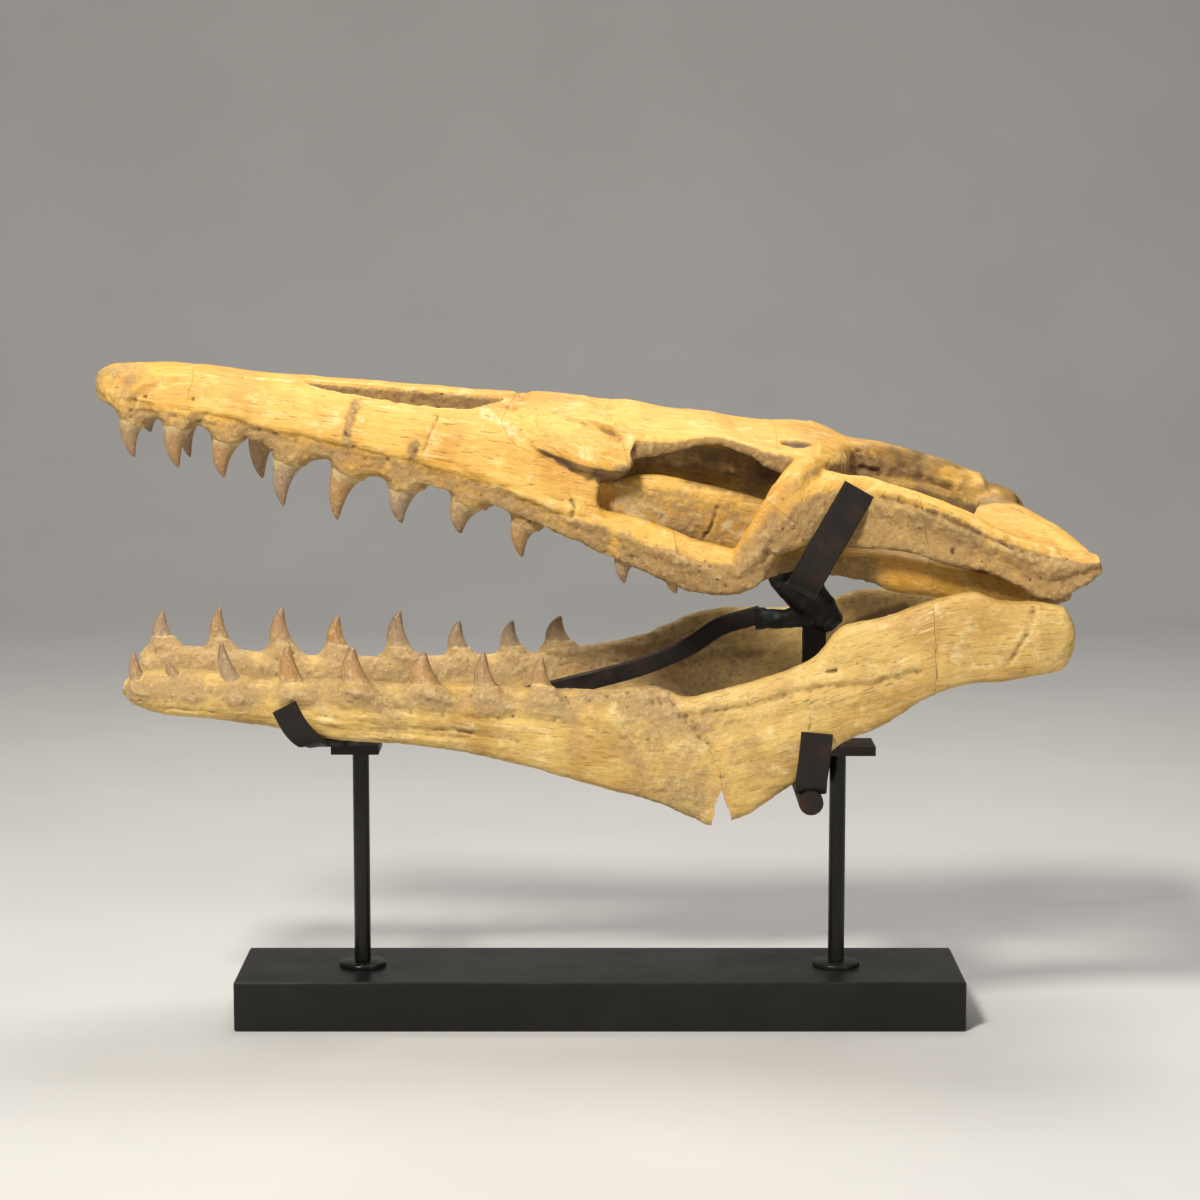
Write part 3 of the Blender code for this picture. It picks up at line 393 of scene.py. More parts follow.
def make_mesh(name, points, triangles):
    mesh = bpy.data.meshes.new(name)
    mesh.vertices.add(len(points))
    mesh.vertices.foreach_set("co", (points * MM).astype(np.float32).ravel())
    mesh.loops.add(len(triangles) * 3)
    mesh.loops.foreach_set("vertex_index", triangles.astype(np.int32).ravel())
    mesh.polygons.add(len(triangles))
    mesh.polygons.foreach_set("loop_start", np.arange(0, 3 * len(triangles), 3, dtype=np.int32))
    mesh.update(calc_edges=True)
    return mesh


def add_object(name, mesh):
    made = bpy.data.objects.new(name, mesh)
    bpy.context.scene.collection.objects.link(made)
    return made


def applied(thing):
    """The mesh that an object's modifiers give; the object goes."""
    bpy.context.view_layer.update()
    evaluated = thing.evaluated_get(bpy.context.evaluated_depsgraph_get())
    mesh = bpy.data.meshes.new_from_object(evaluated)
    old = thing.data
    bpy.data.objects.remove(thing)
    bpy.data.meshes.remove(old)
    return mesh


def fused(name, skins):
    """One even skin round all the skins."""
    rough = add_object(name, skins.mesh(name))
    change = rough.modifiers.new("skin", 'REMESH')
    change.mode = 'VOXEL'
    change.voxel_size = VOXEL * MM
    return applied(rough)


def combined(mesh, others, operation):
    """A mesh joined with other meshes, or less them."""
    whole = add_object("whole", mesh)
    tools = [add_object("tool", other) for other in others]
    for tool in tools:
        change = whole.modifiers.new("combine", 'BOOLEAN')
        change.operation, change.solver, change.object = operation, 'MANIFOLD', tool
    made = applied(whole)
    for tool in tools:
        bpy.data.objects.remove(tool)
    return made


def gathered(items, name, width, kind=np.float32):
    values = np.empty(len(items) * width, kind)
    items.foreach_get(name, values)
    return values.reshape(-1, width)


def get_points(mesh):
    return gathered(mesh.vertices, "co", 3).astype(float) / MM


def set_points(mesh, points):
    mesh.vertices.foreach_set("co", (points * MM).astype(np.float32).ravel())
    mesh.update()


def get_normals(mesh):
    return gathered(mesh.vertex_normals, "vector", 3).astype(float)


def get_edges(mesh):
    return gathered(mesh.edges, "vertices", 2, np.int32)


def relaxed(values, edges, rounds):
    """Values at the points, each moved towards the mean of its neighbours."""
    values = np.array(values, float)
    flat = values.ndim == 1
    if flat:
        values = values[:, None]
    count = len(values)
    degree = np.maximum(np.bincount(edges.ravel(), minlength=count), 1)
    for _ in range(rounds):
        for k in range(values.shape[1]):
            total = (np.bincount(edges[:, 0], values[edges[:, 1], k], count)
                     + np.bincount(edges[:, 1], values[edges[:, 0], k], count))
            values[:, k] += EASE * (total / degree - values[:, k])
    return values[:, 0] if flat else values


def set_attribute(mesh, name, values):
    kind = 'FLOAT' if values.ndim == 1 else 'FLOAT_VECTOR'
    made = mesh.attributes.get(name) or mesh.attributes.new(name, kind, 'POINT')
    made.data.foreach_set('value' if values.ndim == 1 else 'vector', values.astype(np.float32).ravel())


def get_attribute(mesh, name):
    return gathered(mesh.attributes[name].data, 'value', 1)[:, 0].astype(float)


def put(name, mesh, material, slot, *nodes, sharp=None):
    """A finished piece; edges sharper than so many degrees stay sharp."""
    piece = add_object(name, mesh)
    mesh.shade_smooth()
    if sharp:
        mesh.set_sharp_from_angle(angle=math.radians(sharp))
    mesh.materials.append(material)
    settle(piece, slot, *nodes)


def settle(piece, slot, *nodes):
    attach(piece, "root")
    if nodes:
        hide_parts(*nodes)


# ---- shapes of the cranium --------------------------------------------------
def crushed(points):
    """Where points of the symmetric design lie: the right cheek is crushed."""
    points = np.array(points, float)
    right = points[..., 1] > 0
    out = np.clip((np.abs(points[..., 1]) - CRUSH_FROM_Y) / (CRUSH_FULL_Y - CRUSH_FROM_Y), 0, 1) * right
    back = np.clip((points[..., 0] - CRUSH_FROM_X) / (CRUSH_FULL_X - CRUSH_FROM_X), 0, 1)
    points[..., 0] -= CRUSH_SHORTENING * np.maximum(0, points[..., 0] - CRUSH_FULL_X) * out
    points[..., 2] -= CRUSH_DROP * back * out
    return points


def closed_section(outline, count):
    """A smooth closed curve through the corners of an outline, as evenly shared points."""
    corners = np.array(outline, float)
    total = len(corners)
    at = np.arange(count) * total / count
    cell = at.astype(int)
    t = (at - cell)[:, None]
    p = [corners[(cell + k) % total] for k in (-1, 0, 1, 2)]
    return 0.5 * (2 * p[1] + (p[2] - p[0]) * t + (2 * p[0] - 5 * p[1] + 4 * p[2] - p[3]) * t**2
                  + (3 * p[1] - p[0] - 3 * p[2] + p[3]) * t**3)


def mirrored(half):
    """A full section from half a section that runs from the midline round to the midline."""
    other = half[-2:0:-1] * np.array([-1, 1])
    return np.concatenate([half, other])


def stations(table, step=2.0):
    """x values a step apart over a table's length, and the table's smooth columns there."""
    rows = np.array(table, float)
    x = np.linspace(rows[0, 0], rows[-1, 0], int((rows[-1, 0] - rows[0, 0]) / step) + 1)
    return [x] + [read(table, x, k) for k in range(1, rows.shape[1])]


def loft_sections(skins, xs, sections):
    rings = [np.column_stack([np.full(len(section), x), section]) for x, section in zip(xs, sections)]
    skins.loft(rings)


def snout_half(roof, crest, gum, half):
    """Half a section: y to the left and z, from the roof's midline to the palate's."""
    rise = min(9.0, (roof - gum) * 0.4)
    fall, drop = roof - crest, crest - gum
    inset = min(3.2, half * 0.12)
    shape = [(0, roof), (half * 0.2, roof - fall * 0.02), (half * 0.4, roof - fall * 0.08),
             (half * 0.58, roof - fall * 0.19), (half * 0.74, roof - fall * 0.37),
             (half * 0.88, roof - fall * 0.62), (half * 0.965, roof - fall * 0.84), (half, crest + 1),
             (half * 0.995, crest - 1.2), (half - inset * 0.8, crest - drop * 0.12 - 1.5),
             (half - inset * 1.15, crest - drop * 0.45), (half - inset * 1.3, crest - drop * 0.8),
             (half - inset * 1.6, gum), (half * 0.74, gum - 0.5), (half * 0.6, gum + 1),
             (half * 0.42, gum + rise * 0.9), (half * 0.2, gum + rise + 1.5), (0, gum + rise + 2)]
    return dense(shape, SECTION_POINTS) * (-1, 1)


def snout(skins):
    xs, roof, crest, gum, half = stations(SNOUT)
    spots = np.column_stack([xs, np.zeros((len(xs), 2))])
    crest = crest + 2.4 * layered(spots, 17, 3, 21) * smooth_step(-372, -350, xs)
    sections = []
    for k, x in enumerate(xs):
        section = snout_half(roof[k], crest[k], gum[k], half[k])
        out = np.abs(section[:, 0])
        if NARIS[0][0] < x < NARIS[-1][0]:
            outer = read(NARIS, x, 1)
            inside = (smooth_step(INTERNARIAL_HALF_WIDTH, INTERNARIAL_HALF_WIDTH + NARIS_WALL, out)
                      * smooth_step(outer, outer - NARIS_WALL, out))
            front, rear = NARIS[0][0], NARIS[-1][0]
            ends = smooth_step(front, front + 14, x) * smooth_step(rear, rear - 26, x)
            top = np.arange(len(section)) < SECTION_POINTS // 2
            section[:, 1] -= np.where(top, inside * NARIS_DEPTH * (0.35 + 0.65 * ends), 0)
        sections.append(mirrored(section))
    loft_sections(skins, xs, sections)


def prefrontal(skins, side):
    """The plate in front of the orbit: it grows out of the snout and ends in a ragged ledge below."""
    xs, lows, prouds, slants = stations(PREFRONTAL, 1.0)
    spots = np.column_stack([xs, np.full(len(xs), 7.0 * side), np.zeros(len(xs))])
    lows = lows + layered(spots, 9.0, 3, 41) * 3.5
    rings = []
    for x, low, proud, slant in zip(xs, lows, prouds, slants):
        on_snout = min(x, 8.0)
        half = snout_half(*(read(SNOUT, on_snout, k) for k in (1, 2, 3, 4)))
        outer = half[(half[:, 1] > low - slant) & (half[:, 0] < -9)]
        under = np.clip((outer[:, 1] - low + slant) / slant, 0, 1)
        push = proud * smooth_step(low + 40, low + 6, outer[:, 1]) * under - 0.5
        slope = unit(np.gradient(outer, axis=0))
        out = np.column_stack([slope[:, 1], -slope[:, 0]])
        skin = outer + out * push[:, None]
        outline = np.concatenate([skin, (outer - out * PREFRONTAL_DEPTH)[::-1]])
        y, z = resampled(outline, SECTION_POINTS).T
        spots = np.column_stack([z, np.full(SECTION_POINTS, 3.0), np.zeros(SECTION_POINTS)])
        torn = 3.0 * layered(spots, 9.0, 3, 47) * smooth_step(0, 22, x)
        rings.append(np.column_stack([x + torn, side * y, z]))
    skins.loft(rings)


def resampled(outline, count):
    """Evenly shared points along the straight sides of a closed outline."""
    corners = np.concatenate([outline, outline[:1]]).astype(float)
    run = np.concatenate([[0], np.cumsum(np.linalg.norm(np.diff(corners, axis=0), axis=1))])
    at = np.linspace(0, run[-1], count, endpoint=False)
    return np.column_stack([np.interp(at, run, corners[:, k]) for k in (0, 1)])


def half_sections(rows):
    """Sections from half outlines of y and z, each made smooth."""
    return [mirrored(dense(half, BLOCK_POINTS)) for half in rows]


def frontal(skins):
    xs, roof, edge, rim, half = stations(FRONTAL)
    rows = [[(0, r), (-h * 0.5, r - (r - e) * 0.25), (-h, e), (-h * 0.99, (e + m) / 2), (-h * 0.93, m),
             (-h * 0.55, m + 1), (0, m + 3)] for r, e, m, h in zip(roof, edge, rim, half)]
    loft_sections(skins, xs, half_sections(rows))


def parietal(skins):
    xs, roof, top, below, low = stations(PARIETAL)
    rows = [[(0, r), (-t * 0.6, r - 1), (-t, r - 5), (-max(b, t) * 0.9, r - 14), (-b, m), (0, m - 2)]
            for r, t, b, m in zip(roof, top, below, low)]
    loft_sections(skins, xs, half_sections(rows))


def block(skins, table):
    xs, top, low, half = stations(table)
    rows = []
    for t, b, h in zip(top, low, half):
        corner = min(h, t - b) * 0.3
        rows.append([(0, t + 1), (-h + corner, t), (-h, t - corner), (-h, b + corner), (-h + corner, b),
                     (0, b - 1)])
    loft_sections(skins, xs, half_sections(rows))


def bar_rings(table, step=2.0, count=40, shape=ROUND):
    """Sections square to a bar's path, closed in at both ends."""
    rows = smooth_path(table, step)
    path = crushed(rows[:, :3])
    along = unit(np.gradient(path, axis=0))
    across = np.cross([0, 0, 1], along)
    across /= np.maximum(np.linalg.norm(across, axis=1), 1e-6)[:, None]
    up = np.cross(along, across)
    outward = np.sign(across[:, 1] * rows[-1, 1])
    outline = closed_section(shape, count)
    return (path[:, None] + up[:, None] * outline[None, :, 1:] * rows[:, 3, None, None]
            + (across * outward[:, None])[:, None] * outline[None, :, :1] * rows[:, 4, None, None])


def rear_plate(skins, side):
    """The broad sloping top face between the roof's end and the rear cheek's ridge."""
    rings = []
    shares = np.linspace(0, 1, 12)
    for row in dense(REAR_PLATE, 24):
        top, low = row[:3], row[3:]
        face = [top + (low - top) * share - np.array([0, 0, REAR_PLATE_SAG * 4 * share * (1 - share)])
                for share in shares]
        under = [spot - np.array([0, 0, REAR_PLATE_DEPTH]) for spot in face[::-1]]
        rings.append(np.array(face + under) * (1, side, 1))
    rings = np.array(rings)
    skins.loft(crushed(rings.reshape(-1, 3)).reshape(rings.shape))


def both_sides(table):
    """A bar's table for the left side and for the right."""
    rows = np.array(table, float)
    other = rows.copy()
    other[:, 1] *= -1
    return [rows, other]


# ---- teeth ------------------------------------------------------------------
def set_out(rows, out, drop):
    """Tooth rows moved outward on the jaw, with the crowns' bases lower."""
    return [(x1, z1 - drop, tip_x, tip_z, x2, z2 - drop, y + math.copysign(out, y))
            for x1, z1, tip_x, tip_z, x2, z2, y in rows]


def tooth_frame(row):
    """The middle of a crown's base, its tip, half width and the directions of its section."""
    front_x, front_z, tip_x, tip_z, rear_x, rear_z, y = row
    if tip_z < front_z and front_x < 0:
        y *= 1 - TOOTH_INSET
    front, tip, rear = (np.array([front_x, y, front_z], float), np.array([tip_x, y, tip_z], float),
                        np.array([rear_x, y, rear_z], float))
    middle = (front + rear) / 2
    width = rear - front
    half = np.linalg.norm(width) / 2
    return middle, tip, half, width / (2 * half)


def tooth_ring(middle, wide, half, breadth):
    angle = math.tau * np.arange(TOOTH_POINTS) / TOOTH_POINTS
    return (middle + np.cos(angle)[:, None] * wide * half
            + np.sin(angle)[:, None] * np.array([0, breadth * CROWN_BREADTH, 0]))


def crown(skins, row):
    """A curved, tapering crown; its base lies inside the collar."""
    middle, tip, half, wide = tooth_frame(row)
    axis = tip - middle
    height = np.linalg.norm(axis)
    level = np.array([wide[0], 0, wide[2]])
    square = np.array([abs(axis[2]), 0, -axis[0] * np.sign(axis[2])]) / height
    if square[0] * level[0] < 0:
        square = -square
    shares = np.linspace(CROWN[0][0], 1.0, TOOTH_ROWS)
    rings = []
    for share, width in zip(shares, read(CROWN, shares, 1)):
        lie = level * (1 - max(share, 0)) + square * max(share, 0)
        lie /= np.linalg.norm(lie)
        bow = -CROWN_BOW * half * 4 * max(share, 0) * (1 - share)
        rings.append(tooth_ring(middle + axis * share + level * bow, lie, half * width, half * width))
    skins.loft(rings, shares)


def collar(skins, row, table=COLLAR, thickest=99.0, deepest=99.0, tuck=0.0):
    """The bone of attachment that a crown stands on."""
    middle, tip, half, wide = tooth_frame(row)
    inward = -(tip - middle) / np.linalg.norm(tip - middle)
    inward = inward * 0.4 + np.array([0, 0, np.sign(inward[2])]) * 0.6
    rings = []
    for depth, width, breadth, back in table:
        depth = min(depth, deepest)
        centre = middle + inward * depth + wide * half * back
        centre[1] -= math.copysign(tuck * (max(depth, 0) / deepest)**2, centre[1])
        room = thickest + 4 * smooth_step(8, 0, depth)
        rings.append(tooth_ring(centre, wide, half * width, min(half * breadth, room)))
    strands = dense(np.reshape(rings, (len(rings), -1)), TOOTH_ROWS // 2)
    skins.loft(strands.reshape(-1, TOOTH_POINTS, 3))


# ---- the whole cranium ------------------------------------------------------
def whole_cranium():
    skins = Skins()
    snout(skins)
    for side in (1, -1):
        prefrontal(skins, side)
    frontal(skins)
    parietal(skins)
    block(skins, KEEL)
    block(skins, BRAINCASE)
    for side in (1, -1):
        rear_plate(skins, side)
    for name, table in BARS.items():
        for rows in both_sides(table):
            skins.loft(bar_rings(rows, shape=BAR_SHAPES.get(name, ROUND)))
    for row in UPPER_TEETH_LEFT + UPPER_TEETH_RIGHT:
        collar(skins, row)
    return fused("cranium", skins)


def leaned(points):
    """Points of the cranium's own frame, where they lie once it leans."""
    y, z = points[:, 1], points[:, 2] - LEAN_HEIGHT
    return np.stack([points[:, 0], y * math.cos(LEAN) - z * math.sin(LEAN),
                     LEAN_HEIGHT + y * math.sin(LEAN) + z * math.cos(LEAN)], axis=1)


# ---- sutures ----------------------------------------------------------------
def ribbon(path, low, high, plane, seed=0, wander=0.9):
    """A thin cut that follows a path, wandering a little as a suture does."""
    corners = np.array(path, float)
    for end, other in ((0, 1), (-1, -2)):
        away = corners[end] - corners[other]
        corners[end] = corners[end] + away / np.linalg.norm(away) * 1.5
    points = []
    for start, end in zip(corners, corners[1:]):
        count = max(1, int(np.linalg.norm(end - start) / 2.0))
        points += [start + (end - start) * k / count for k in range(count)]
    points = np.array(points + [corners[-1]])
    along = unit(np.gradient(points, axis=0))
    normal = np.stack([-along[:, 1], along[:, 0]], axis=1)
    spots = np.column_stack([points, np.full(len(points), seed * 31.7)])
    fade = np.minimum(np.arange(len(points)), np.arange(len(points))[::-1]) / 3.0
    drift = layered(spots, 7.0, 2, seed) * wander * np.clip(fade, 0, 1)
    points = points + normal * drift[:, None]
    rings = []
    for one, two in zip(points + normal * SEAM / 2, points - normal * SEAM / 2):
        square = [(one, low), (two, low), (two, high), (one, high)]
        if plane == 'XZ':
            rings.append([(p[0], level, p[1]) for p, level in square])
        else:
            rings.append([(p[0], p[1], level) for p, level in square])
    skins = Skins()
    skins.loft(rings)
    return skins.mesh("ribbon")


def cranium_cuts():
    """The sutures of the cranium: each path, its reach across, its plane, its seed and its wander."""
    bar_side, everywhere = INTERNARIAL_HALF_WIDTH, 130
    cuts = [
        ribbon([(-61, 540), (-61, 479), (-69, 471), (-73, 462), (-67, 452), (-61, 446), (-45, 440),
                (-30, 433), (0, 427), (12, 427), (12, 420.5)], -everywhere, everywhere, 'XZ', 1, 1.0),
        ribbon([(-68, 0), (14, 0)], 330, 447, 'XY', 2),
        ribbon([(130, -56), (130, 56)], 380, 480, 'XY', 3, 2.0),
        ribbon([(163, 370), (163, 416), (200, 405), (275, 391), (290, 380.5), (345, 379.5)],
               -30, 30, 'XZ', 4),
    ]
    for side in (1, -1):
        def near(path):
            return [crushed(np.array([x, -y * side, 0.0]))[:2] for x, y in path]

        def span(inner, outer):
            return sorted((-side * inner, -side * outer))

        drop = 0 if side > 0 else CRUSH_DROP
        back = crushed(np.array([308, -80.0 * side, 0]))[0]
        one = 10 + side
        cuts += [
            ribbon(near([(-316, bar_side), (-60, bar_side), (-60, -0.5)]), 330, 540, 'XY', one),
            ribbon([(-289, 425), (-294, 456), (-304, 474), (-301, 510)], *span(bar_side - 3, 75), 'XZ',
                   one + 24, 2.0),
            ribbon(near([(-75, 25), (6, 25), (13, 45), (21, 62), (22, 80)]), 422, 490, 'XY', one + 2, 2.0),
            ribbon([(46, 420), (68, 325)], *span(50, 110), 'XZ', one + 4),
            ribbon([(108, 423), (146, 396), (138, 386), (124, 364), (119, 352)], *span(62, 110), 'XZ',
                   one + 6),
            ribbon(near([(92, 70), (108, 52), (190, 52)]), 385, 480, 'XY', one + 8),
            ribbon([(226, 440), (244, 350)], *span(70, 120), 'XZ', one + 10),
            ribbon(near([(256, 62), (290, 66), (320, 76), (336, 78), (356, 64)]), 356 - drop, 430, 'XY',
                   one + 12),
            ribbon([(back, 370 - drop), (back, 325 - drop)], *span(55, 97), 'XZ', one + 14),
            ribbon(near([(246, 81), (262, 84), (280, 88), (296, 90), (314, 91)]), 325 - drop, 376 - drop,
                   'XY', one + 22),
            ribbon([(10, 365), (10, 430.5)], *span(22, 50), 'XZ', one + 16),
            ribbon(near([(85, 74), (150, 74)]), 335, 388, 'XY', one + 18),
            ribbon(near([(190, 42), (240, 42)]), 340, 388, 'XY', one + 20),
        ]
    return cuts


def islands(mesh):
    """For each point, the number of the piece that it is in."""
    count = len(mesh.vertices)
    edges = get_edges(mesh)
    label = np.arange(count)
    while True:
        low = np.minimum(label[edges[:, 0]], label[edges[:, 1]])
        new = label.copy()
        np.minimum.at(new, edges[:, 0], low)
        np.minimum.at(new, edges[:, 1], low)
        new = new[new]
        new = new[new]
        if (new == label).all():
            return label
        label = new


def parted(mesh, cuts, seeds):
    """The mesh cut apart, and for each point the number of the seed whose bone it is in.

    Each large piece takes the nearest seed that is free, and each crumb the nearest of all.
    """
    made = combined(mesh, [combined(cuts[0], cuts[1:], 'UNION')], 'DIFFERENCE')
    points = get_points(made)
    groups, place, sizes = np.unique(islands(made), return_inverse=True, return_counts=True)
    away = np.full((len(groups), len(seeds)), FAR)
    for k, seed in enumerate(seeds):
        np.minimum.at(away[:, k], place, np.linalg.norm(points - crushed(np.array(seed, float)), axis=1))
    owner = away.argmin(axis=1)
    free = np.where((sizes > sizes.max() * SMALLEST_BONE)[:, None], away, FAR)
    while free.min() < FAR:
        group, seed = np.unravel_index(free.argmin(), free.shape)
        owner[group] = seed
        free[group, :] = free[:, seed] = FAR
    return made, owner[place]


def part_of(mesh, name, keep):
    """A new mesh from the triangles whose points are marked in keep."""
    bm = bmesh.new()
    bm.from_mesh(mesh)
    bm.verts.ensure_lookup_table()
    bmesh.ops.delete(bm, geom=[v for v, k in zip(bm.verts, keep) if not k], context='VERTS')
    made = bpy.data.meshes.new(name)
    bm.to_mesh(made)
    bm.free()
    return made


# ---- weathering -------------------------------------------------------------
SUNKEN = {"groove": 0.15, "crack": 0.5, "pit": 0.6}      # how dark each sunken mark is
PATCHY = ("crack", "groove", "rubble")                  # marks that fade in and out
WOBBLE = 1.1                                            # how far marks stray from their paths


def marked(points, features, seed):
    """What a list of features does at the points: the push outward, and the three paints.

    A feature is its kind, how strong it is, how wide it is and its path.
    """
    push = np.zeros(len(points))
    paints = {paint: np.zeros(len(points)) for paint in ("dark", "pale", "rubble")}

    def paint_over(name, where, strength):
        paints[name][where] = np.maximum(paints[name][where], strength)

    wobble = np.stack([noise(points, 6.0, seed + k) for k in range(3)], axis=1) * WOBBLE
    patchy = smooth_step(-0.5, 0.1, noise(points, 11.0, seed + 5)) * 0.5 + 0.5
    for kind, amount, width, path in features:
        path = np.array(path, float)
        reach = width + 3
        inside = ((points > path.min(0) - reach) & (points < path.max(0) + reach)).all(axis=1)
        if not inside.any():
            continue
        here, stray = points[inside], wobble[inside]
        if len(path) > 1:
            away = path_distance(here + stray, path)
        else:
            away = np.linalg.norm(here + stray - path[0], axis=1)
        near = smooth_step(width, width * 0.25, away)
        if kind in PATCHY:
            near = near * patchy[inside]
        if kind == "ridge":
            push[inside] += amount * np.clip(1 - away / width, 0, 1)
        elif kind in SUNKEN:
            push[inside] -= amount * near
            paint_over("dark", inside, near * SUNKEN[kind])
        elif kind == "plaster":
            push[inside] += amount * near
            paint_over("pale", inside, near)
        elif kind == "rubble":
            push[inside] += near * amount * 2.2 * layered(here, 8.0, 3, seed + 9)
            paint_over("rubble", inside, near * amount)
        elif kind == "step":
            above = here[:, 2] - np.interp(here[:, 0], path[:, 0], path[:, 2]) + stray[:, 2]
            push[inside] += amount * near * np.clip(above / 1.8, -1, 1)
            # Painted shadow: a dark band just below the step's edge.
            foot = 0.3 * amount * near * smooth_step(0.6, -0.6, above) * smooth_step(-6, -1.5, above)
            paint_over("dark", inside, foot)
        elif kind == "stain":
            paint_over("dark", inside, near * amount)
    return push, paints


def hollowed(points):
    """The front rim of the orbit, drawn in to a curve."""
    x, y, z = points.T
    share = (np.clip(1 - ((z - 411) / 23)**2, 0, 1) * smooth_step(-22, 6, x) * smooth_step(30, 16, x)
             * smooth_step(30, 44, np.abs(y)))
    return points - np.outer(share, [10.0, 0, 0])


def softened(points, edges, places):
    """The points, with the mesh's edges rounded off near some places (x, z and how far)."""
    for x, z, reach in places:
        share = smooth_step(reach, reach * 0.4, np.hypot(points[:, 0] - x, points[:, 2] - z))
        points = points + (relaxed(points, edges, 30) - points) * share[:, None]
    return points


# Layers of relief: height, size, finer layers and seed
LUMPS = [(0.8, 36, 2, 0), (0.45, 12, 3, 10)]
GRAIN = [(0.6, (38, 3.4, 3.4), 2, 20), (0.4, (60, 6.5, 6.5), 2, 25)]
GRAIN_HEIGHT = 0.42
PIT_CELL, PIT_RADIUS, PIT_SHARE, PIT_DEPTH = 7.5, 1.7, 0.4, 0.9


def weathered(mesh, seed, flow, rough, features, streak=None, soft=(), shade=None):
    """Bone detail: lumps, marks, grain along the bone, pits, and a crumbly skin where rough is 1."""
    edges = get_edges(mesh)
    points = relaxed(get_points(mesh), edges, 4)
    if soft:
        points = softened(hollowed(points), edges, soft)
    set_points(mesh, points)
    normals = get_normals(mesh)
    broad = relaxed(normals, edges, 12)
    push, paints = marked(points, features, seed + 60)
    zone = np.clip(np.maximum(rough(points, broad), paints["rubble"]), 0, 1)
    # Painted shade: the shade function's brown, mottled, joins the dark paint.
    if shade is not None:
        mottle = 0.75 + 0.5 * layered(points, 14, 3, seed + 77)
        paints["dark"] = np.clip(np.maximum(paints["dark"], shade(points, broad) * mottle), 0, 1)
    points = points + normals * (heaped(points, LUMPS, seed) + push)[:, None]
    points = relaxed(points, edges, 1)
    set_points(mesh, points)
    normals = get_normals(mesh)
    coarse = np.ones(len(points)) if streak is None else 1 + streak(points)
    holes = pits(points, PIT_CELL, PIT_RADIUS, PIT_SHARE, seed + 40) * (0.15 + zone)
    fine = (GRAIN_HEIGHT * heaped(flow(points), GRAIN, seed) * coarse * (1 - 0.5 * zone)
            + (0.1 + 0.6 * zone) * layered(points, 3.4, 2, seed + 30)
            + (0.15 + 0.85 * zone) * layered(points, 7.5, 2, seed + 35) - PIT_DEPTH * holes)
    points = points + normals * fine[:, None]
    set_points(mesh, points)
    # relief: how far a point stands out from the surface round it; the paint turns it into a painted
    # highlight on ridges and darker hollows.
    hollow = ((points - relaxed(points, edges, 10)) * get_normals(mesh)).sum(axis=1)
    for name, values in (("relief", np.clip(hollow / 0.7, -1, 1)), ("rough", zone), ("dark", paints["dark"]),
                         ("pale", paints["pale"]), ("skin", np.ones(len(points)))):
        set_attribute(mesh, name, values)


# How far the grain of each kind of bone climbs towards the rear
SLOPES = {
    "premaxilla": -0.03, "maxilla": -0.18, "prefrontal": -0.5, "frontal": -0.1, "parietal": -0.3,
    "braincase": -0.2, "jugal": -0.4, "postorbital": 0.9, "squamosal": -0.35, "pterygoid": -0.15,
    "dentary": -0.08, "surangular": 0.35, "articular": 0.1,
}


def along_slope(points, slope):
    """Points turned so that X runs along the grain."""
    angle = math.atan(slope)
    x = points[:, 0] * math.cos(angle) + points[:, 2] * math.sin(angle)
    z = -points[:, 0] * math.sin(angle) + points[:, 2] * math.cos(angle)
    return np.stack([x, points[:, 1], z], axis=1)


def in_prefrontal(points):
    """1 inside the striped plate in front of the orbit."""
    x, z = points[:, 0], points[:, 2]
    low = read(PREFRONTAL, np.clip(x, -66, 22), 1)
    return smooth_step(-76, -55, x) * smooth_step(24, 20, x) * smooth_step(low - 3, low + 1, z)


def levelled(points, xs, slopes):
    """Heights of points above a line that climbs by the given slopes at the given xs."""
    bend = np.linspace(-380, 365, 150)
    line = np.cumsum(curve(xs, slopes, bend)) * (bend[1] - bend[0])
    return points[:, 2] - np.interp(points[:, 0], bend, line)


def cranium_flow(points):
    """Points laid so that X runs along the grain, which turns from bone to bone."""
    x, y, z = points.T
    level = levelled(points, [-380, -100, -40, 60, 150, 365], [-0.04, -0.2, -0.3, -0.28, -0.3, -0.36])
    return np.stack([x, y, np.where(in_prefrontal(points) > 0.5, z + 0.52 * x, level)], axis=1)


def cranium_streak(points):
    """How much coarser the grain is on the prefrontals and the parietal's sides."""
    x, y, z = points.T
    parietal_side = smooth_step(150, 190, x) * smooth_step(400, 408, z) * smooth_step(50, 40, np.abs(y))
    return 2.2 * in_prefrontal(points) + 1.8 * parietal_side


def lower_bar(points):
    """1 on the bar that runs back under the arcade."""
    x, y, z = points.T
    top = np.interp(x, [200, 221, 257, 294, 310, 320], [370, 371, 364, 358, 352, 340])
    return smooth_step(196, 215, x) * smooth_step(top, top - 1.5, z) * smooth_step(40, 48, np.abs(y))


